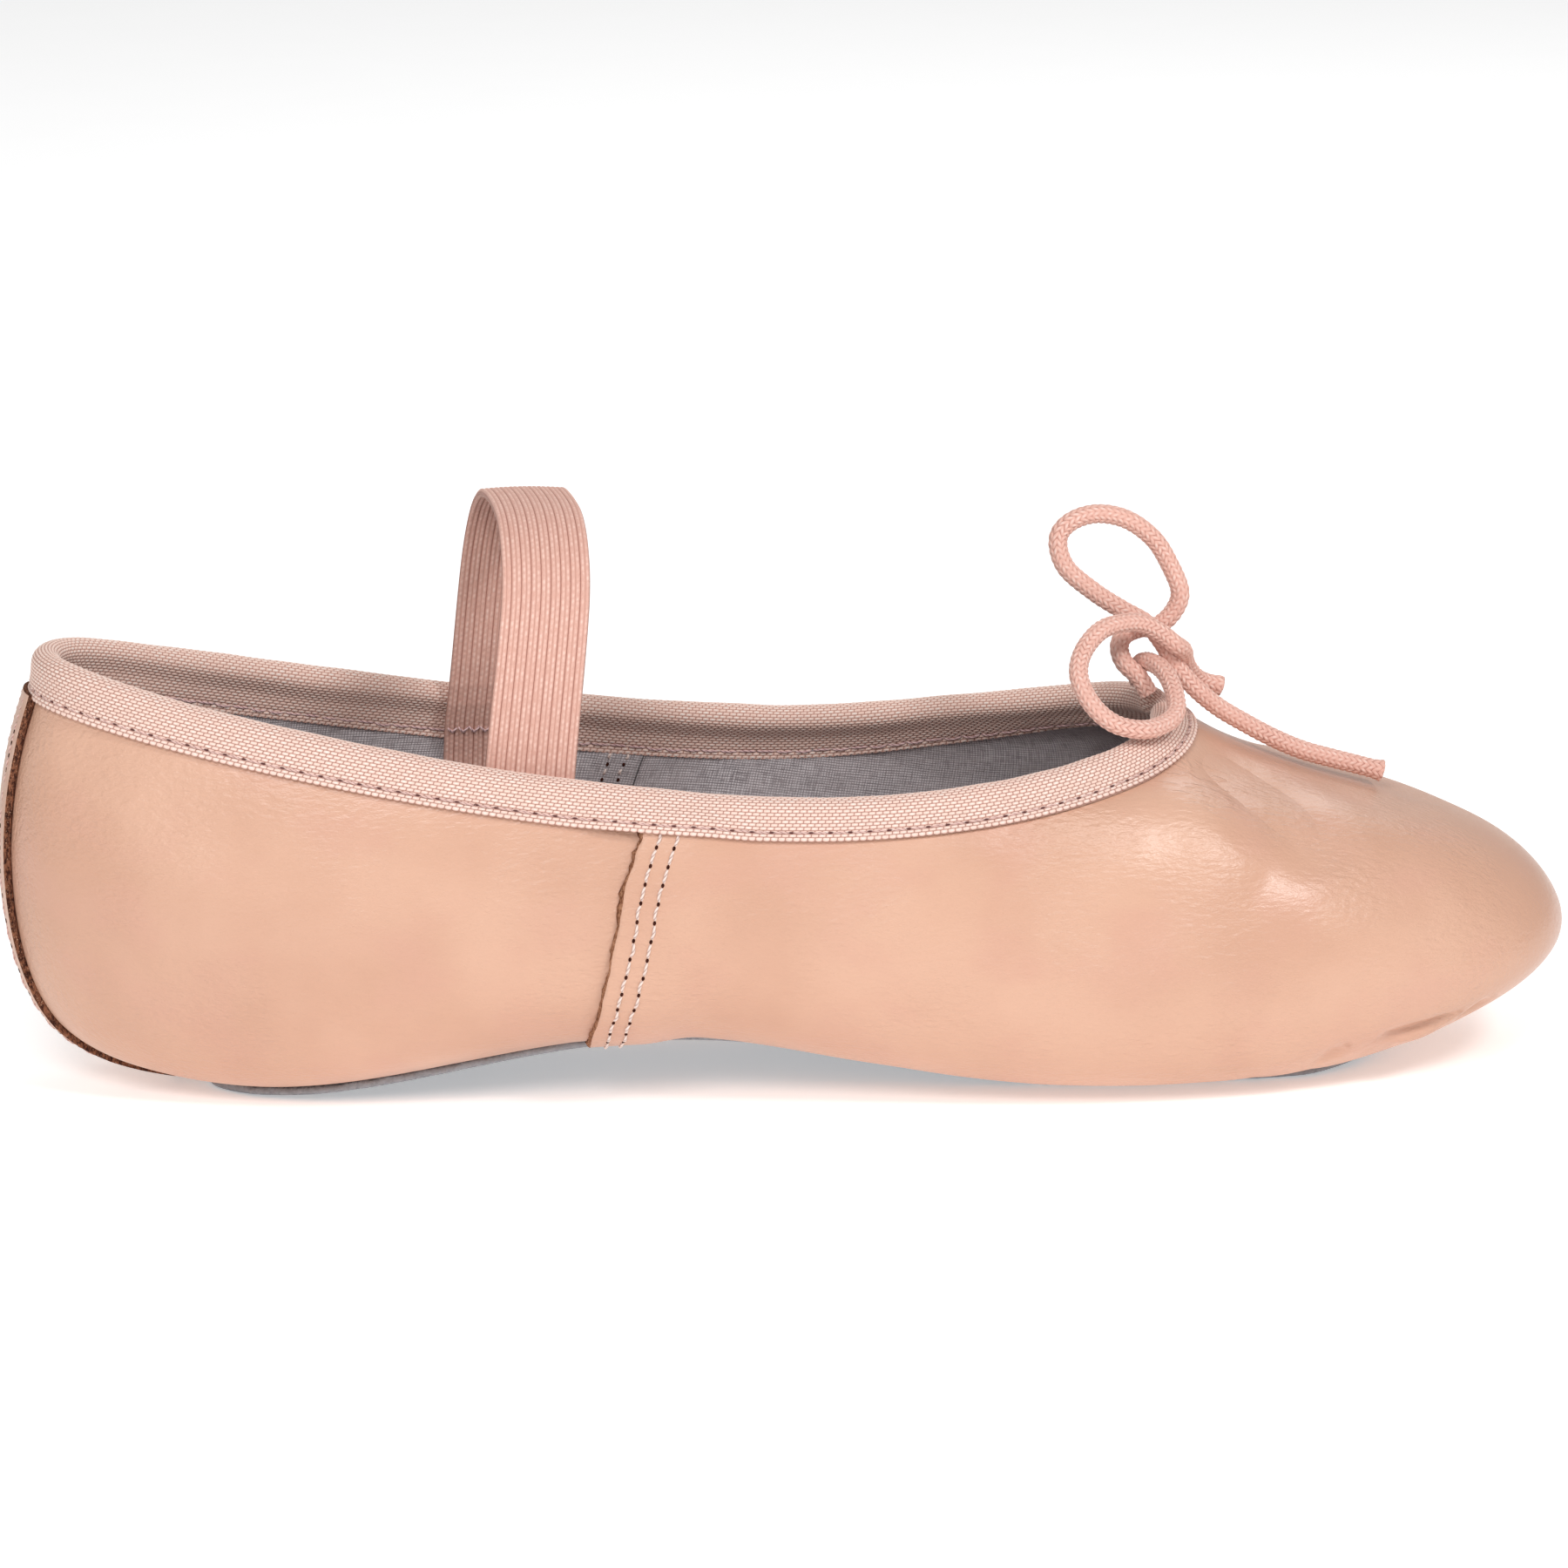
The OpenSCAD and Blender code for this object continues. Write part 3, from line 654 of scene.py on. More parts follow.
# ---- Upper ------------------------------------------------------------------
LEATHER_T, LINING_T, LAYER_GAP, LINING_SPACE = 1.0, 0.4, 0.08, 0.3
SEAM_RIM, SEAM_FOOT = 3.94, 3.47
SEAM_TURN = (1.9, 3.6)  # from, run
LAP, LAP_FADE, LINING_GAP = 0.24, 0.3, 0.006
BUTT_GAP, LIFT_FROM, LIFT_TO, LAP_TO = 0.03, 1.0, 1.35, 1.7
BACK_GAP = 0.01
LAP_LIFT = LEATHER_T + LAYER_GAP
VAMP_COLUMNS, QUARTER_COLUMNS, UPPER_ROWS = 440, 190, 120


def seam(v):
    """Rear edge of the vamp on the near side."""
    return SEAM_FOOT + (SEAM_RIM - SEAM_FOOT) * smooth((v - SEAM_TURN[0]) / SEAM_TURN[1])


def quarter_front(v):
    return seam(v) - BUTT_GAP + (LAP + BUTT_GAP) * smooth((v - LIFT_TO) / (LAP_TO - LIFT_TO))


def vamp_face(s, v):
    """How far the vamp rides above the last."""
    down = smooth((near_half(s) - seam(v) - LAP - LINING_GAP) / LAP_FADE)
    return LAP_LIFT * smooth((v - LIFT_FROM) / (LIFT_TO - LIFT_FROM)) * (1 - down)


def sheet_columns(rear, front, v0, v1, columns, rows):
    """Grids of s and v between two edges that depend on v."""
    v = np.linspace(v0, v1, rows + 1)[:, None] * np.ones((1, columns + 1))
    t = np.linspace(0, 1, columns + 1)[None, :]
    return rear(v) + (front(v) - rear(v)) * t, v


def groove(points, start, end, width, depth):
    """A soft valley of that depth along a line between two points."""
    start, end = np.array(start, float), np.array(end, float)
    run = end - start
    t = np.clip((points - start) @ run / (run @ run), 0, 1)
    away = np.linalg.norm(points - start - t[..., None] * run, axis=-1)
    fade = np.sin(math.pi * t) ** 0.7
    return -depth * np.exp(-((away / width) ** 2)) * fade


VALLEYS = [  # start, end, width, depth
    ([176, -8, 51], [193, -30, 33], 6.0, 1.9),
    ([176, 8, 51], [193, 30, 33], 6.0, 1.3),
    ([166, -24, 47], [182, -34, 34], 5.5, -0.8),
    ([182, -34, 32], [206, -33, 22], 7.0, -0.7),
    ([148, -36, 34], [166, -38.5, 22], 9.0, 0.9),
    ([138, -36, 14], [166, -40, 12], 7.0, -0.5),
]
TOE_FOLDS = [
    ([200, -32.5, 8.2], [213, -27.5, 10.4], 1.1, 2.5),
    ([203, -31, 5.8], [212, -28, 7.2], 2.4, -1.9),
    ([213.5, -26, 5], [217, -24, 13], 1.6, 1.7),
    ([190, -32.5, 3.5], [195, -33, 8], 1.4, 1.2),
]
DIMPLES = [
    ([22, -22, 50], [44, -29, 30], 6.0, 0.45),
    ([42, -26, 46], [58, -32, 26], 5.0, 0.35),
    ([62, -31, 36], [84, -34, 20], 6.0, 0.3),
    ([22, 22, 50], [44, 29, 30], 6.0, 0.4),
    ([50, 28, 44], [70, 33, 24], 6.0, 0.35),
]
PLEATS = 13
PLEAT_ARC = 2.1  # columns each side of the toe that are pleated


def pleats(s, v):
    """Leather gathered under the toe: sharp valleys between round folds."""
    across = (s - TOE) / PLEAT_ARC
    wobble = 0.25 * np.sin(7.1 * across) + 0.12 * np.sin(17.3 * across)
    fold = np.abs(np.sin(math.pi * (across * PLEATS / 2 + wobble))) ** 0.6
    reach = 1.75 + 0.28 * np.sin(9.0 * across + 1.0)
    window = (1 - smooth((v - 1.05) / (reach - 1.05))) * (1 - smooth((np.abs(across) - 0.75) / 0.3))
    return 0.95 * window * (fold - 0.72)


def leather_relief(points, s, v):
    """Soft unevenness of leather that has been pulled over a last."""
    relief = 0.16 * field(points, 42, 3) + 0.06 * field(points, 17, 4)
    for start, end, width, depth in VALLEYS + DIMPLES + TOE_FOLDS:
        relief += groove(points, start, end, width, depth)
    fade = smooth((v - 1.0) / 0.6) * (1 - smooth((v - 5.4) / 0.45))
    near_seam = 1 - np.exp(-(((near_half(s) - seam(v) - 0.1) / 0.22) ** 2))
    return relief * fade * (0.25 + 0.75 * near_seam)


MM_PER_V = 12  # about how far one step of v runs up the side


def ragged(v, seed, rough):
    """An uneven 0 to 1 run along a cut edge."""
    along = np.stack([v * MM_PER_V, v * 0, v * 0], -1)
    wave = field(along, 9, seed) + 0.6 * field(along, 3.1, seed + 1)
    wave = wave + rough * field(along, 1.1, seed + 2)
    return np.clip(0.45 + 0.3 * wave, 0, 1)


RAW_WIDEST = 0.024  # in columns, about 0.7 mm
CUT_WANDER = 0.007


def skin_cut(v):
    """Where the skin side of the vamp's cut edge runs."""
    return seam(v) + CUT_WANDER * (ragged(v, 21, 0.2) - 0.5) * 2


def flesh_cut(v):
    """The cut slopes, so its flesh side reaches further back than the skin."""
    bare = RAW_WIDEST * (0.12 + ragged(v, 31, 0.5)) * smooth((v - 1.0) / 0.4)
    return skin_cut(v) - bare


def vamp_columns(cut):
    return sheet_columns(cut, lambda v: COLUMNS - cut(v), 0, EDGE, VAMP_COLUMNS, UPPER_ROWS)


def make_vamp():
    s, v = vamp_columns(skin_cut)
    off = vamp_face(s, v) + pleats(s, v)
    outer = skin(s, v, off + leather_relief(last(s, v), s, v))
    s, v = vamp_columns(flesh_cut)
    inner = skin(s, v, vamp_face(s, v) + np.minimum(pleats(s, v), 0) * 0.3 - LEATHER_T)
    return slab_piece("vamp", outer, inner, LEATHER, "upper_leather", edge=CUT_EDGE, fray=0.12,
                      replaces=("vamp",))


def back_edge(v):
    """The near quarter's edge at the back seam."""
    return BACK_GAP + 0 * v


def mirrored_sheet(outer, inner):
    """The same sheet on the far side, with its columns turned round to face outwards."""
    flip = np.array([1, -1, 1])
    return (outer * flip)[:, ::-1], (inner * flip)[:, ::-1]


def make_quarter(side):
    """side is -1 for the near quarter, 1 for the far one."""
    name = "quarter_near" if side < 0 else "quarter_far"
    s, v = sheet_columns(back_edge, quarter_front, 0, EDGE, QUARTER_COLUMNS, UPPER_ROWS)
    points = last(s, v) * [1, -side, 1]
    under_lap = 1 - smooth((s - seam(v) + 0.12) / 0.1)
    off = leather_relief(points, s, v) * under_lap
    outer, inner = skin(s, v, off), skin(s, v, 0 * s - LEATHER_T)
    if side > 0:
        outer, inner = mirrored_sheet(outer, inner)
    return slab_piece(name, outer, inner, LEATHER, "upper_leather", edge=CUT_EDGE,
                      replaces=(name,))


def lining_wrinkles(points, v):
    """Creases of a lining that is a little loose; they only stand into the shoe."""
    crease = np.abs(field(points * [0.35, 1, 1], 13, 51)) ** 0.8
    crease = crease + 0.35 * np.abs(field(points, 6, 53))
    return -0.34 * crease * smooth((v - 0.9) / 0.5) * (1 - smooth((v - 5.3) / 0.4))


def make_lining(name, rear, front, columns, mirrored=False):
    """A lining, with its flat size measured on the face that the foot touches."""
    s, v = sheet_columns(rear, front, 0, EDGE, columns, UPPER_ROWS)
    face = -LEATHER_T - LINING_SPACE
    wrinkle = lining_wrinkles(last(s, v), v)
    outer = skin(s, v, face + wrinkle * 0.5)
    inner = skin(s, v, face - LINING_T + wrinkle)
    if mirrored:
        outer, inner = mirrored_sheet(outer, inner)
    piece = slab_piece(name, outer, inner, COTTON, "cotton_lining", replaces=(name,))
    across = lengths_along(inner, 1)[:, -1].max() * MM
    down = lengths_along(inner, 0)[-1].max() * MM
    return piece


def lining_seam(v):
    return quarter_front(v) + LINING_GAP


make_vamp()
make_quarter(-1)
make_quarter(1)
make_lining("vamp_lining", lining_seam, lambda v: COLUMNS - lining_seam(v), 330)
make_lining("quarter_lining_near", back_edge, quarter_front, 150)
make_lining("quarter_lining_far", back_edge, quarter_front, 150, mirrored=True)


# ---- Back stay --------------------------------------------------------------
STAY_HALF, STAY_T, STAY_TOP = 0.36, 1.2, EDGE - 0.48  # half width in columns
STAY_COLUMNS, STAY_ROWS = 36, 170


def stay_edge(v):
    """Half the strip's width, in columns, with the knife's wander."""
    return STAY_HALF - 0.008 * (ragged(v, 61, 0.4) - 0.5)


def make_back_stay():
    """A leather strip over the back seam, with thick, speckled cut edges."""
    s, v = sheet_columns(lambda v: -stay_edge(v), stay_edge, 1.0, STAY_TOP,
                         STAY_COLUMNS, STAY_ROWS)
    across = np.linspace(-1, 1, STAY_COLUMNS + 1)[None, :]
    crown = 0.16 * (1 - across**4) - 0.1 + 0.05 * field(last(s, v), 14, 63)
    outer = skin(s, v, STAY_T + LAYER_GAP + crown)
    inner = skin(s, v, LAYER_GAP + 0 * s)
    return slab_piece("back_stay", outer, inner, STAY, "stay_leather", edge=STAY_EDGE, fray=0.08,
                      replaces=("back_stay",))


make_back_stay()


# ---- Sole -------------------------------------------------------------------
SOLE_T = 1.4
SOLE_Z = 0.2  # the stitches stand out this far under the suede
SOLE_INSET = ([20, 90, 130, 176, 192, 220], [1.8, 2.0, 3.2, 3.2, -0.6, -0.6])  # x, inset
SOCK_FROM, SOCK_T, SOCK_INSET = 4.48, 2.0, 1.2
OUTLINE = 640  # points round each layer
LAYER_SHARES = [0.985, 0.9, 0.8, 0.7, 0.6, 0.5, 0.4, 0.3, 0.2, 0.1]  # of the way to the spine
ROUND_STEPS = 8  # round a layer's edge


def outline(by):
    """The feather line in plan, moved inwards by a distance (or an array of them)."""
    s = np.arange(OUTLINE) * COLUMNS / OUTLINE
    column = np.floor(s).astype(int)
    picked = (column + np.arange(-1, 3)[:, None]) % COLUMNS
    flat = np.einsum("kn,kni->ni", weights(s - column), RINGS[1][picked])[:, :2]
    return inset(flat, np.broadcast_to(by, (OUTLINE,))[:, None])


def layer_ring(by, z):
    flat = outline(by)
    return np.column_stack([flat, bottom(flat[:, 0]) + z])


def cap_faces(start, turned):
    """Faces that close a ring of OUTLINE points: rungs from side to side, and a tip."""
    half = OUTLINE // 2
    rungs = [(a, a + 1, (OUTLINE - a - 1) % OUTLINE, (OUTLINE - a) % OUTLINE)
             for a in range(half - 1)]
    faces = [tuple(start + k for k in dict.fromkeys(rung)) for rung in rungs]
    faces.append((start + half - 1, start + half, start + half + 1))
    return faces if turned else [face[::-1] for face in faces]


def rounded_layer(name, by, z0, z1, round_r, material, slot, wave, puff=0.0):
    """A flat layer of the sole with a rounded, uneven edge. Rings run bottom to top."""
    edge = outline(by)
    foot = np.stack([np.clip(edge[:, 0], *SPINE), np.zeros(OUTLINE)], 1)
    reach = np.linalg.norm(edge - foot, axis=1)
    uneven = wave * field(layer_ring(by, 0), 5, 71) + 0.5 * wave * field(layer_ring(by, 0), 1.6, 72)
    rings, rim = [], []
    for share in LAYER_SHARES:
        rings.append(layer_ring(by + round_r + share * (reach - round_r), z0))
        rim.append(0)
    for k in range(ROUND_STEPS + 1):
        a = math.pi * k / ROUND_STEPS
        z = (z0 + z1) / 2 - math.cos(a) * (z1 - z0) / 2
        rings.append(layer_ring(by + round_r * (1 - math.sin(a)) + uneven * math.sin(a), z))
        rim.append(math.sin(a))
    for share in LAYER_SHARES[::-1]:
        lift = puff * (1 - (1 - share) ** 2)
        rings.append(layer_ring(by + round_r + share * (reach - round_r), z1 + lift))
        rim.append(0)
    points = np.concatenate(rings)
    rows = len(rings)
    faces = [tuple(f) for f in grid_faces(rows, OUTLINE, wrap_columns=True, flip=True)]
    faces += cap_faces(0, True) + cap_faces((rows - 1) * OUTLINE, False)
    return make_piece(name, points, faces, material, slot, replaces=(name,),
                      uv=points[:, :2], attributes={"rim": np.repeat(rim, OUTLINE)})


def outsole_inset():
    return np.interp(outline(0)[:, 0], *SOLE_INSET)


rounded_layer("outsole", outsole_inset(), SOLE_Z, SOLE_T, 0.6, SUEDE, "suede_sole", 0.2)
rounded_layer("sole_filler", 6.6, SOLE_T + LAYER_GAP, 3.3, 0.6, BOARD, "sole_board", 0.1)
rounded_layer("insole_board", 2.5, 3.4, 4.4, 0.4, BOARD, "sole_board", 0.05)
rounded_layer("sock_lining", SOCK_INSET, SOCK_FROM, SOCK_FROM + SOCK_T - 0.2, 0.9, COTTON,
              "cotton_lining", 0.05, puff=0.35)


# ---- Topline binding --------------------------------------------------------
TAPE_T, LEG_GAP, BINDING_DEPTH = 0.6, 0.15, 3.4
WALL_T = LEATHER_T + LINING_T + LINING_SPACE
ROLL_R, ROLL_LIFT = CORD_D / 2 + LEG_GAP + TAPE_T, CORD_D / 2 + LEG_GAP
SLIT_FROM, SLIT_RUN = 0.13, 0.14  # columns from the throat where the roll begins
FLAT_R, FLAT_LIFT = 1.35, 0.75
KNUCKLE_LONG, KNUCKLE_DEPTH = 1.05, 0.17
TAPE_ROWS = 36  # of knuckles from one raw edge to the other
STITCH_PITCH = 2.8
STITCH_FROM_EDGE = 1.2
RIDE_FROM, RIDE_RUN = 0.36, 0.3  # columns behind the vamp's edge where the tape climbs
LEG_FROM = 0.4  # below the edge, where the steps down each leg begin
OUTER_STEPS, INNER_STEPS = 9, 13  # down the outer leg to BINDING_DEPTH, and the deeper inner one
LEG_DEPTHS = LEG_FROM + (BINDING_DEPTH - LEG_FROM) / (OUTER_STEPS - 1) * np.arange(INNER_STEPS)


def topline(samples):
    """Columns evenly spaced along the upper's edge, and its length."""
    dense = np.linspace(0, COLUMNS, 4001) + TOE
    along = lengths_along(last(dense, EDGE), 0)
    at = np.arange(samples) * along[-1] / samples
    return np.interp(at, along, dense), along[-1]


def loop_smooth(values, passes):
    """Values round a closed loop, averaged with their neighbours."""
    for _ in range(passes):
        values = (np.roll(values, 1, 0) + 2 * values + np.roll(values, -1, 0)) / 4
    return values


def edge_frame(s):
    """Edge points, and unit vectors along the edge, out of the shoe and down its side."""
    edge = last(s, EDGE)
    run = unit(np.roll(edge, -1, 0) - np.roll(edge, 1, 0))
    out = loop_smooth(outward(s, EDGE - 0.25 + 0 * s), 400)
    out = unit(out - run * (out * run).sum(-1, keepdims=True))
    down = np.cross(run, out)
    return edge, run, out, down


def walk_down(s, edge, run, down):
    """Columns and heights of the points on the last at each depth square below the edge."""
    u, v = s.copy(), np.full_like(s, EDGE)
    found = []
    for depth in LEG_DEPTHS:
        for _ in range(12):
            here = last(u, v)
            by_u = (last(u + STEP, v) - last(u - STEP, v)) / (2 * STEP)
            by_v = (last(u, v) - last(u, v - STEP)) / STEP
            off_run = ((here - edge) * run).sum(-1)
            off_down = ((here - edge) * down).sum(-1) - depth
            a, b = (by_u * run).sum(-1), (by_v * run).sum(-1)
            c, d = (by_u * down).sum(-1), (by_v * down).sum(-1)
            det = a * d - b * c
            u -= np.clip((d * off_run - b * off_down) / det, -0.1, 0.1)
            v -= np.clip((a * off_down - c * off_run) / det, -0.2, 0.2)
        found.append((u.copy(), v.copy()))
    return found


def ride(u, v):
    """Height of the leather under the tape, above the last: the vamp climbs the quarters."""
    climb = smooth((near_half(u) - seam(v) + RIDE_FROM) / RIDE_RUN)
    fall = 1 - smooth((near_half(u) - seam(v) - LAP - LINING_GAP) / LAP_FADE)
    return LAP_LIFT * climb * fall


def tape_path(s):
    """The folded tape's outer face across: (sections, points, 3), outer edge first."""
    open_roll = smooth((np.abs(s % COLUMNS - TOE) - SLIT_FROM) / SLIT_RUN)
    radius = FLAT_R + (ROLL_R - FLAT_R) * open_roll
    lift = FLAT_LIFT + (ROLL_LIFT - FLAT_LIFT) * open_roll
    edge, run, out, down = edge_frame(s)
    centre = edge - down * lift[:, None] - out * WALL_T / 2
    outside, inside = [], []
    for step, (u, v) in enumerate(walk_down(s, edge, run, down)):
        here = last(u, v)
        if step < OUTER_STEPS:
            rise = LEG_GAP + ride(u, v) + leather_relief(here, u, v) + TAPE_T
            outside.append(here + out * rise[:, None])
        inside.append(here - out * (WALL_T + LEG_GAP + TAPE_T))
    turn = np.radians(np.linspace(-15, 195, 19))[:, None, None]
    roll = centre + (out * np.cos(turn) - down * np.sin(turn)) * radius[:, None]
    path = np.stack([*outside[::-1], *roll, *inside], 1)
    for _ in range(3):  # rounds the bends where the legs meet the roll
        path[:, 1:-1] = (path[:, :-2] + 2 * path[:, 1:-1] + path[:, 2:]) / 4
    return loop_smooth(path, 3)


def resample_across(path, count):
    """Each section's points, spaced evenly."""
    along = lengths_along(path, 1)
    even = np.linspace(0, 1, count)
    out = np.empty((len(path), count, 3))
    for k, (row, run) in enumerate(zip(path, along)):
        for axis in range(3):
            out[k, :, axis] = np.interp(even * run[-1], run, row[:, axis])
    return out, along[:, -1]


def surface_normals(grid):
    """Unit normals, out of the tape, of a closed band of points."""
    normal = unit(np.cross(np.gradient(grid, axis=1), np.roll(grid, -1, 0) - np.roll(grid, 1, 0)))
    middle = grid.shape[1] // 2
    outwards = (grid[0, middle] - (grid[0, 0] + grid[0, -1]) / 2) @ normal[0, middle] > 0
    return normal if outwards else -normal


def knuckles(u, row):
    """0 to 1 height of a staggered weave. row counts picks across the tape."""
    long = np.abs(np.cos(math.pi * (u / KNUCKLE_LONG + 0.5 * (np.floor(row + 1e-6) % 2))))
    wide = np.abs(np.sin(math.pi * row))
    return long**0.45 * wide**0.55


KNUCKLE_SAMPLES, ROW_SAMPLES = 6, 3
TAPE_BACK_STEP = 3  # the hidden face of the tape has one point for this many
HOLE_LONG, HOLE_WIDE = 0.56, 0.19


def tape_grid():
    """The tape's outer face as a fine grid, its normals, distance along and width."""
    _, length = topline(8)
    picks = int(round(length / KNUCKLE_LONG / 2)) * 2
    s, _ = topline(picks * KNUCKLE_SAMPLES)
    across = TAPE_ROWS * ROW_SAMPLES + 1
    face, widths = resample_across(tape_path(s), across)
    along = np.arange(len(s)) * KNUCKLE_LONG / KNUCKLE_SAMPLES
    return face, surface_normals(face), along[:, None], widths.mean(), picks * KNUCKLE_LONG


TAPE_FACE, TAPE_NORMAL, TAPE_ALONG, TAPE_WIDTH, TAPE_LENGTH = tape_grid()
TAPE_STITCHES = int(round(TAPE_LENGTH / STITCH_PITCH))


def tape_relief():
    """Height of the woven face, its weave alone, and how far each point is into a needle hole."""
    row = np.linspace(0, TAPE_ROWS, TAPE_FACE.shape[1])[None, :]
    relief = knuckles(TAPE_ALONG, row)
    from_edge = np.minimum(row, TAPE_ROWS - row) / TAPE_ROWS * TAPE_WIDTH
    from_seam = from_edge - STITCH_FROM_EDGE
    pull = np.exp(-((from_seam / 0.4) ** 2))
    pitch = TAPE_LENGTH / TAPE_STITCHES
    from_hole = ((TAPE_ALONG / pitch + 0.5) % 1 - 0.5) * pitch
    hole = np.exp(-((from_hole / HOLE_LONG) ** 2 + (from_seam / HOLE_WIDE) ** 2))
    hole = hole * (row < TAPE_ROWS / 2)
    uneven = 0.05 * field(TAPE_FACE, 9, 81) + 0.09 * field(TAPE_FACE, 34, 82)
    height = KNUCKLE_DEPTH * (relief - 0.6) - 0.14 * pull - 0.3 * hole
    return height + uneven * smooth(from_edge), relief, hole


def make_binding():
    sections, across = TAPE_FACE.shape[:2]
    height, relief, hole = tape_relief()
    outer = TAPE_FACE + TAPE_NORMAL * height[..., None]
    # Each pick bulges a little past the tape's two raw edges
    bulge = 0.16 * np.abs(np.cos(math.pi * TAPE_ALONG / KNUCKLE_LONG)) ** 0.6
    inwards = unit(np.gradient(TAPE_FACE, axis=1))
    outer[:, 0] -= inwards[:, 0] * bulge
    outer[:, -1] += inwards[:, -1] * bulge
    inner = (TAPE_FACE - TAPE_NORMAL * TAPE_T)[:, ::TAPE_BACK_STEP]
    backs = inner.shape[1]
    count = sections * across
    first = np.arange(sections) * across
    hidden = count + np.arange(sections) * backs
    rims = []
    for face_edge, back_edge, flip in ((first, hidden, False),
                                       (first + across - 1, hidden + backs - 1, True)):
        strip = np.stack([face_edge, back_edge, np.roll(back_edge, -1), np.roll(face_edge, -1)], -1)
        rims.append(strip[:, ::-1] if flip else strip)
    faces = np.concatenate([grid_faces(sections, across, wrap_rows=True),
                            grid_faces(sections, backs, count, wrap_rows=True, flip=True), *rims])
    points = np.concatenate([outer.reshape(-1, 3), inner.reshape(-1, 3)])
    hidden_values = np.zeros(sections * backs)
    # The hole attribute also darkens the tape's needle holes in its colour: painted shade.
    attributes = {"relief": np.concatenate([relief.ravel(), hidden_values + 0.3]),
                  "hole": np.concatenate([hole.ravel(), hidden_values])}
    return make_piece("topline_binding", points, faces, TAPE, "binding_tape",
                      replaces=("topline_binding",), attributes=attributes)


make_binding()


# ---- Stitches ---------------------------------------------------------------
THREAD_SIDES, THREAD_TWIST, THREAD_SPACING = 8, 0.9, 0.16


def thread_mesh(paths, diameter):
    """Two-ply thread swept along each of several short paths."""
    points, faces, relief = [], [], []
    angle = np.arange(THREAD_SIDES) / THREAD_SIDES * 2 * math.pi
    for path in paths:
        line = respaced(path, THREAD_SPACING)
        along = lengths_along(line, 0)[:, None]
        ply = np.abs(np.cos(angle[None, :] - along / THREAD_TWIST * math.pi))
        radius = diameter / 2 * (0.72 + 0.28 * ply)
        ring_points = swept(line, carried_sides(line, (0.3, 0.2, 1)), radius, angle)
        start = sum(len(p) for p in points)
        faces += [tuple(start + k for k in f) for f in tube_faces(len(line), THREAD_SIDES)]
        points.append(ring_points.reshape(-1, 3))
        relief.append(ply.ravel())
    return np.concatenate(points), faces, np.concatenate(relief)


def hole_disc(centre, normal, run, long, wide, sides=12):
    """A shallow dished oval that lies on the surface."""
    side = np.cross(normal, run)
    angle = np.arange(sides) / sides * 2 * math.pi
    oval = run * np.cos(angle)[:, None] * long / 2 + side * np.sin(angle)[:, None] * wide / 2
    rim, middle = centre + oval + normal * 0.06, centre + oval * 0.6 + normal * 0.03
    foot = centre + oval * 1.05 - normal * 0.12
    points = np.concatenate([foot, rim, middle])
    return points, tube_faces(3, sides)


def sewn_row(place, stitches, dip, rise, fill=0.86, slack=0.0, seed=0):
    """Paths of stitches along place(f) -> (point, normal), f from 0 to 1, and their holes."""
    draw = np.random.default_rng(seed)
    paths, holes = [], []
    for k in range(stitches):
        f = (k + (1 - fill) / 2 + fill * np.linspace(0, 1, 9)) / stitches
        points, normals = place(f)
        side = np.cross(normals, unit(np.gradient(points, axis=0)))
        arc = np.sin(math.pi * np.linspace(0, 1, 9))
        lift = -dip + (dip + rise) * arc**0.5
        sway = slack * draw.uniform(-1, 1) * arc
        paths.append(points + normals * lift[:, None] + side * sway[:, None])
    at = np.arange(stitches + 1) / stitches
    points, normals = place(at)
    runs = unit(np.gradient(points, axis=0))
    holes = list(zip(points, normals, runs))
    return paths, holes


def stitch_piece(name, paths, holes, diameter, material=THREAD, hole_size=(0.7, 0.55)):
    """One piece of a seam's visible threads and the dark ovals of its needle holes, which are
    painted shade.
    """
    points, faces, relief = thread_mesh(paths, diameter)
    flags = [0] * len(faces)
    for centre, normal, run in holes:
        disc, disc_faces = hole_disc(centre, normal, run, *hole_size)
        faces += [tuple(len(points) + k for k in f) for f in disc_faces]
        flags += [1] * len(disc_faces)
        points = np.concatenate([points, disc])
        relief = np.concatenate([relief, np.zeros(len(disc))])
    return make_piece(name, points, faces, material, "thread", replaces=(name,),
                      attributes={"relief": relief}, second=(HOLE_SHADE, flags))


SEAM_ROWS = (0.08, 0.16)  # columns ahead of the vamp's edge
SEAM_SPAN = (1.1, 5.2)  # in v


def on_skin(s, v, off):
    return skin(s, v, off), outward(s, v)


def seam_heights(ahead):
    """v for a fraction of the way up a row of the side seam, and its stitch count."""
    v = np.linspace(*SEAM_SPAN, 200)
    along = lengths_along(last(seam(v) + ahead, v), 0)
    count = int(round(along[-1] / STITCH_PITCH))
    return (lambda f: np.interp(f * along[-1], along, v)), count


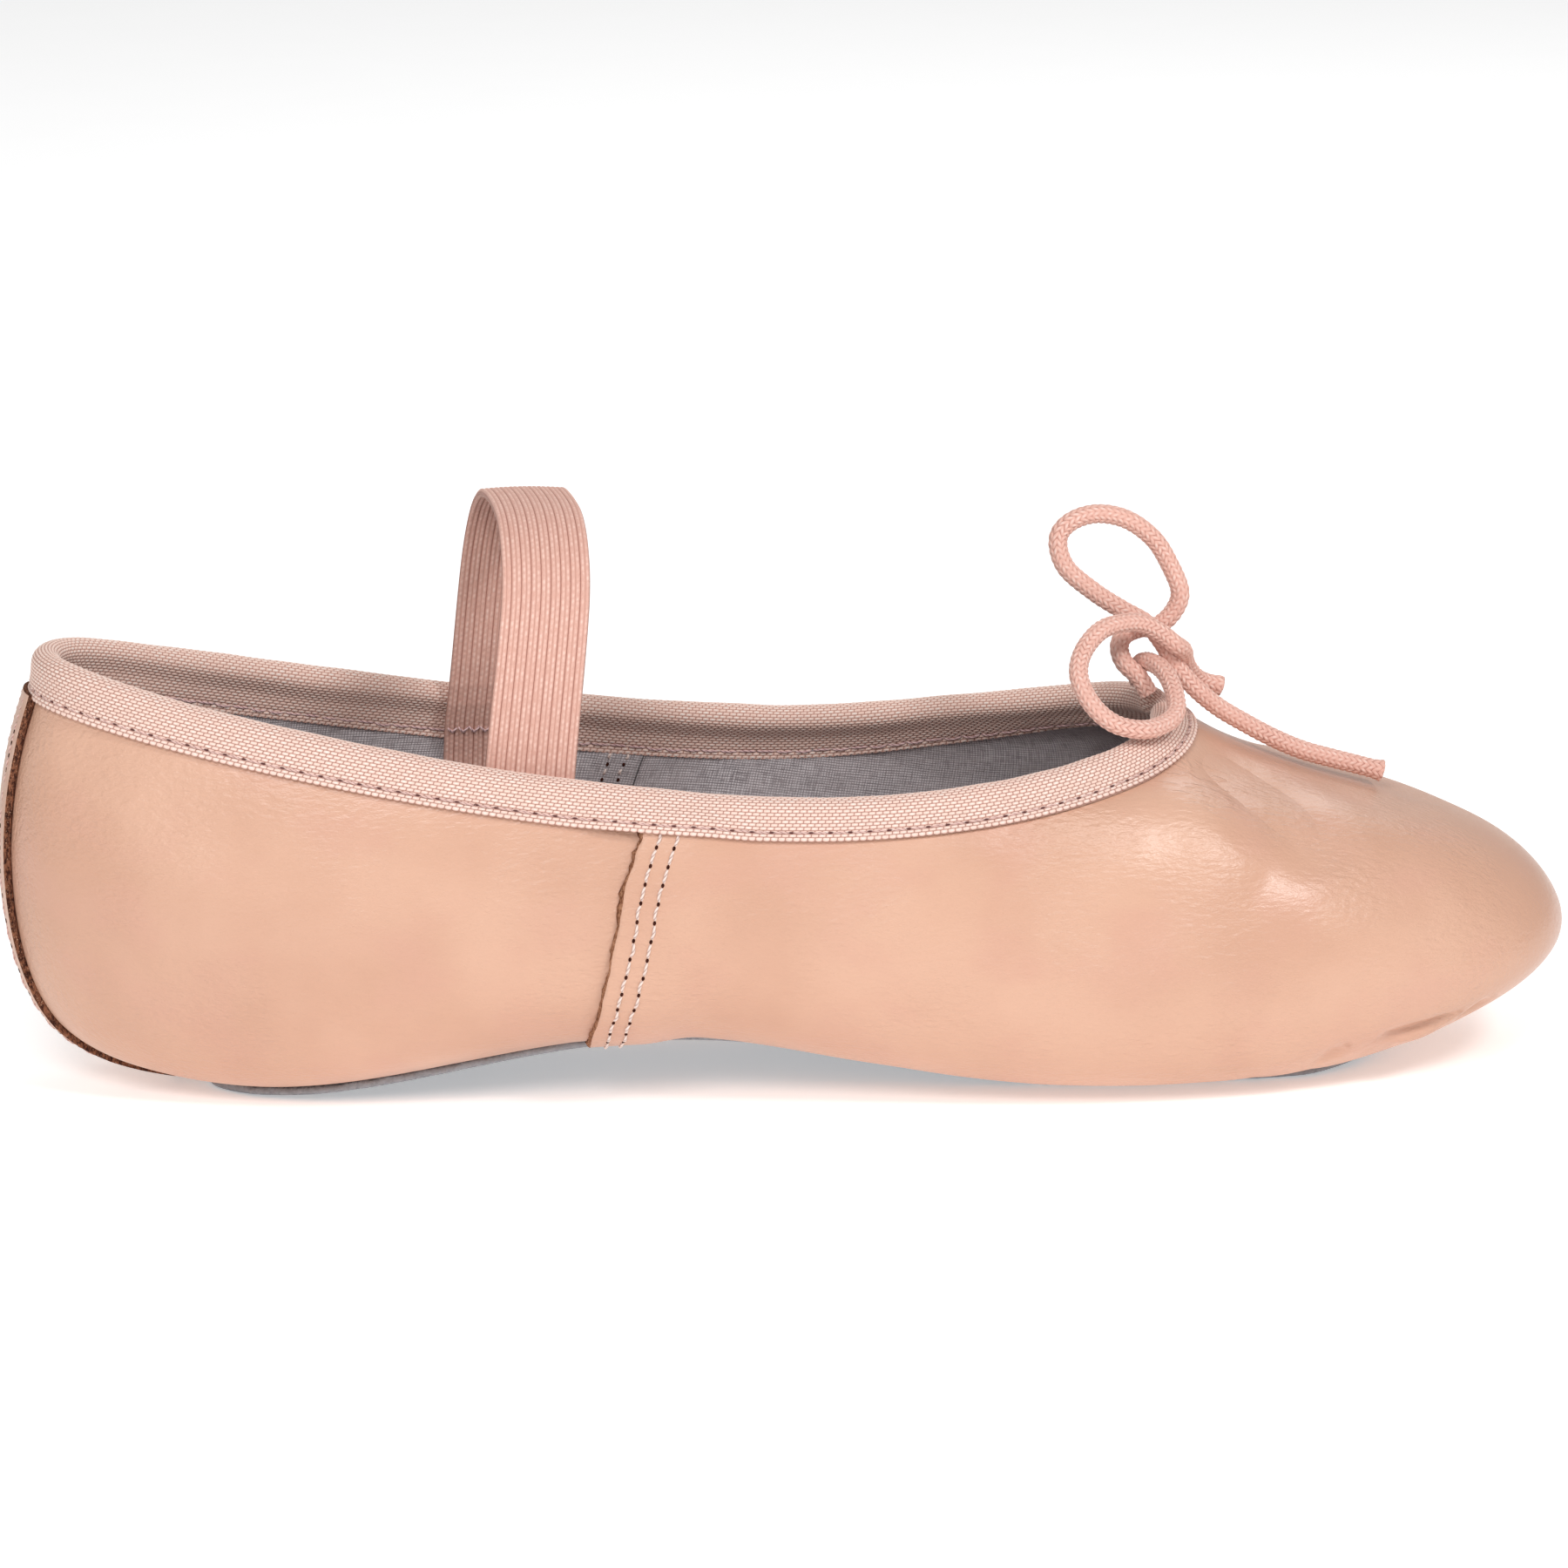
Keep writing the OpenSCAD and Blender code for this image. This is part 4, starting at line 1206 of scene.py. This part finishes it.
def side_seam(side):
    """Two rows: slack threads outside, and the dots of the same stitches on the lining."""
    name = "side_seam_stitches_near" if side < 0 else "side_seam_stitches_far"
    flip = np.array([1, -side, 1])
    paths, holes = [], []
    for number, ahead in enumerate(SEAM_ROWS):
        height_at, count = seam_heights(ahead)

        def place(f):
            v = height_at(f)
            s = seam(v) + ahead
            off = vamp_face(s, v) + leather_relief(last(s, v) * flip, s, v)
            points, normals = on_skin(s, v, off)
            return points * flip, normals * flip

        def inside(f):
            v = height_at(f)
            s = seam(v) + ahead
            points, normals = on_skin(s, v, -WALL_T + lining_wrinkles(last(s, v), v))
            return points * flip, -normals * flip

        for surface, fill, rise, seed in ((place, 0.76, 0.18, 90), (inside, 0.3, 0.1, 96)):
            row, marks = sewn_row(surface, count, 0.3, rise, fill=fill, slack=0.26,
                                  seed=seed + number)
            paths += row
            holes += marks
    return stitch_piece(name, paths, holes, 0.48, hole_size=(0.66, 0.46))


STAY_STITCHES = 24  # in each row


def back_stay_seams():
    """A row of stitches near each edge of the back stay."""
    paths, holes = [], []
    for side in (-1, 1):
        def place(f, side=side):
            v = 1.1 + (STAY_TOP - 1.2) * f
            return on_skin(side * (STAY_HALF - 0.13) + 0 * v, v, STAY_T + LAYER_GAP + 0 * v)
        row, marks = sewn_row(place, STAY_STITCHES, 0.3, 0.05, fill=0.78, slack=0.06, seed=95 + side)
        paths += row
        holes += marks
    return stitch_piece("back_stay_stitches", paths, holes, 0.4, TAPE_THREAD)


def tape_place(from_edge, inside):
    """place(f) for a row of stitches that lies on the tape, near one of its edges."""
    column = int(round(from_edge / TAPE_WIDTH * (TAPE_FACE.shape[1] - 1)))
    if inside:
        column = -1 - column
    line = np.concatenate([TAPE_FACE[:, column], TAPE_FACE[:1, column]])
    normals = np.concatenate([TAPE_NORMAL[:, column], TAPE_NORMAL[:1, column]])
    at = np.linspace(0, 1, len(line))

    def place(f):
        points = np.stack([np.interp(f, at, line[:, k]) for k in range(3)], 1)
        square = np.stack([np.interp(f, at, normals[:, k]) for k in range(3)], 1)
        return points, unit(square)
    return place


def binding_seam():
    """Thin stitches sunk in the groove of the tape."""
    paths, _ = sewn_row(tape_place(STITCH_FROM_EDGE, False), TAPE_STITCHES, 0.34, -0.06,
                        fill=0.66, slack=0.05, seed=101)
    return stitch_piece("binding_stitches", paths, [], 0.34, TAPE_THREAD)


def binding_seam_inside():
    """The mauve bobbin thread, a little slack, on the inner side of the binding."""
    paths, _ = sewn_row(tape_place(STITCH_FROM_EDGE, True), TAPE_STITCHES, 0.3, 0.06,
                        fill=0.92, slack=0.2, seed=102)
    points, faces, relief = thread_mesh(paths, 0.36)
    return make_piece("binding_stitches_inside", points, faces, MAUVE_THREAD, "thread",
                      attributes={"relief": relief})


SOLE_STITCHES, SOLE_SEAM_INSET = 143, 4.0


def sole_seam():
    """Stitches round the outsole, near its edge."""
    line = layer_ring(SOLE_SEAM_INSET, SOLE_Z)
    line = np.concatenate([line, line[:1]])
    along = lengths_along(line, 0)

    def place(f):
        points = np.stack([np.interp(f * along[-1], along, line[:, k]) for k in range(3)], 1)
        return points, np.tile([0.0, 0.0, -1.0], (len(points), 1))

    paths, holes = sewn_row(place, SOLE_STITCHES, 0.25, -0.02, slack=0.08, seed=103)
    return stitch_piece("sole_stitches", paths, holes, 0.4, hole_size=(0.6, 0.5))


side_seam(-1)
side_seam(1)
back_stay_seams()
binding_seam()
binding_seam_inside()
sole_seam()


# ---- Elastic strap ----------------------------------------------------------
STRAP_X, STRAP_PIVOT_Z, STRAP_LEAN = 74.5, 47.0, 3.5
STRAP_W, STRAP_T, STRAP_TOP = 13.2, 1.2, 85.9
STRAP_HALF, STRAP_FOOT_Z, STRAP_POWER = 24.0, 56.0, 3.2
STRAP_ROOT = [[30.0, 35.6], [29.2, 38.5], [28.2, 42], [27.1, 44.6], [25.7, 47], [24.3, 49.6],
              [23.55, 52.6]]
# How far the strap wanders towards the toe: shares of the way along it, then millimetres
STRAP_SHIFT = ([0, 0.12, 0.32, 0.5, 0.7, 0.9, 1], [0.9, 1.9, 3.2, 2.4, 0.9, 0.1, 0.0])
RIBS, RIB_SAMPLES, RIB_DEPTH = 9, 10, 0.3


def strap_line():
    """The strap's middle line as (y, z), from the near sewn end to the far one."""
    half, rise = STRAP_HALF - STRAP_T / 2, STRAP_TOP - STRAP_T / 2 - STRAP_FOOT_Z
    angle = np.radians(np.linspace(0, 180, 61))
    power = 2 / STRAP_POWER
    y = -np.sign(np.cos(angle)) * half * np.abs(np.cos(angle)) ** power
    z = STRAP_FOOT_Z + rise * np.sin(angle) ** power
    root = np.array(STRAP_ROOT)
    near = root * [-1, 1]
    flat = np.concatenate([near, np.column_stack([y, z]), root[::-1]])
    line = np.column_stack([np.zeros(len(flat)), flat])
    for _ in range(2):
        line[1:-1] = (line[:-2] + 2 * line[1:-1] + line[2:]) / 4
    return respaced(line, 0.2)


def rib_height(across, along):
    """Ribs run along the strap; each is two cords with a fine stitch between picks."""
    rib = np.abs(np.sin(math.pi * across * RIBS))
    cordlet = np.abs(np.sin(math.pi * across * RIBS * 2))
    knit = np.abs(np.sin(math.pi * (along / 0.95 + 0.5 * (np.floor(across * RIBS * 2) % 2))))
    return 0.26 * rib**0.7 + 0.46 * cordlet**0.8 + 0.28 * knit * cordlet


def make_strap():
    line = strap_line()
    run = unit(np.gradient(line, axis=0))
    out = np.cross(run, [1.0, 0, 0])
    if out[len(out) // 2, 2] < 0:
        out = -out
    t = np.linspace(0, 1, RIBS * RIB_SAMPLES + 1)
    along = lengths_along(line, 0)
    height = rib_height(t[None, :], along[:, None])
    z = line[:, 2]
    lean = math.tan(math.radians(STRAP_LEAN)) * np.clip(z - STRAP_PIVOT_Z, 0, None)
    draw_in = 1 - 0.055 * np.sin(math.pi * along / along[-1]) ** 2
    shift = np.interp(along / along[-1], *STRAP_SHIFT)
    shift[1:-1] = np.convolve(np.pad(shift, 20, mode="edge"), np.ones(41) / 41, "valid")[1:-1]
    x = (t[None, :] - 0.5) * STRAP_W * draw_in[:, None] + (STRAP_X + lean + shift)[:, None]
    middle = np.stack([x, line[:, 1:2] + 0 * x, line[:, 2:3] + 0 * x], -1)
    cup = 0.25 * (1 - (2 * t - 1) ** 2)[None, :] * np.sin(math.pi * along / along[-1])[:, None]
    wave = 0.12 * field(middle, 30, 111)
    edge = 1 - 0.5 * smooth((np.abs(2 * t - 1) - 0.95) / 0.05)
    half = (STRAP_T / 2 - 0.22 + RIB_DEPTH * height) * edge[None, :]
    outer = middle + out[:, None] * (cup + wave + half)[..., None]
    inner = middle + out[:, None] * (cup + wave - half)[..., None]
    points, faces, loop, _ = slab(outer, inner)
    relief = np.concatenate([height.ravel(), height.ravel()]
                            + [height.ravel()[loop]] * (RIM_STRIPS - 1))
    piece = make_piece("elastic_strap_woven", points, faces, ELASTIC, "strap_elastic", body=None,
                       replaces=("elastic_strap", "strap_tab_near", "strap_tab_far"),
                       attributes={"relief": relief, "hole": 0 * relief})
    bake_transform(piece)
    return piece


ZIGZAGS, ZIG_HALF = 15, 0.45
STRAP_SEAM_Y, STRAP_SEAM_Z = 26.05, 45.5


def strap_seam():
    """A row of zigzag stitches across each sewn end."""
    paths = []
    run = np.linspace(0, 1, 7)
    for side in (-1, 1):
        for k in range(ZIGZAGS):
            x = STRAP_X + STRAP_W * ((k + run) / ZIGZAGS - 0.5) * 0.94
            zig = ZIG_HALF * (1 if k % 2 else -1) * (2 * run - 1)
            y = side * (STRAP_SEAM_Y - 0.3 * np.sin(math.pi * run))
            paths.append(np.column_stack([x, y, STRAP_SEAM_Z + zig]))
    points, faces, relief = thread_mesh(paths, 0.4)
    return make_piece("strap_stitches", points, faces, MAUVE_THREAD, "thread",
                      replaces=("strap_stitches",), attributes={"relief": relief})


make_strap()
strap_seam()


# ---- CAD nodes that stay ----------------------------------------------------
# The drawstring inside its casing can't be seen, so its CAD part is kept
casing_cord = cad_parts["drawstring"].data.materials
casing_cord.clear()
casing_cord.append(CORD)


# ---- Studio -----------------------------------------------------------------
FLOOR_SIZE = 6.0
WORLD_STRENGTH = 0.45
LIGHT_AIM = (0, 0, 0.03)
LIGHTS = {  # place, size, power
    "key": ((-0.35, -1.0, 0.8), 0.45, 6.8),
    "fill": ((0.5, -0.75, 0.9), 0.25, 5.0),
    "back": ((0.4, 0.9, 0.9), 0.6, 2.5),
}


def make_floor():
    """White paper, lit a little from within so that it photographs as plain white."""
    h = FLOOR_SIZE / 2
    mesh = bpy.data.meshes.new("floor")
    mesh.from_pydata([(-h, -h, 0), (h, -h, 0), (h, h, 0), (-h, h, 0)], [], [(0, 1, 2, 3)])
    m = Shader("floor", Roughness=0.9, Specular_IOR_Level=0.1, Emission_Strength=0.34,
               Emission_Color=(1.0, 1.0, 1.0, 1.0))
    paper = m.noise(m.place(), 40, 2)
    m.set(Base_Color=m.mix(paper, (0.94, 0.94, 0.94, 1), (0.96, 0.96, 0.96, 1)))
    mesh.materials.append(m.material)
    floor = bpy.data.objects.new("floor", mesh)
    bpy.context.scene.collection.objects.link(floor)


def area_light(name, place, size, power):
    data = bpy.data.lights.new(name, "AREA")
    data.shape = "DISK"
    data.size = size
    data.energy = power
    light = bpy.data.objects.new(name, data)
    bpy.context.scene.collection.objects.link(light)
    light.location = place
    light.rotation_mode = "QUATERNION"
    light.rotation_quaternion = (Vector(LIGHT_AIM) - Vector(place)).to_track_quat("-Z", "Y")


def make_light():
    world = bpy.data.worlds.new("studio")
    bpy.context.scene.world = world
    world.use_nodes = True
    background = world.node_tree.nodes["Background"]
    background.inputs["Color"].default_value = (1.0, 1.0, 1.0, 1.0)
    background.inputs["Strength"].default_value = WORLD_STRENGTH
    for name, (place, size, power) in LIGHTS.items():
        area_light(name, place, size, power)
    bpy.context.scene.view_settings.view_transform = "Standard"


make_floor()
make_light()
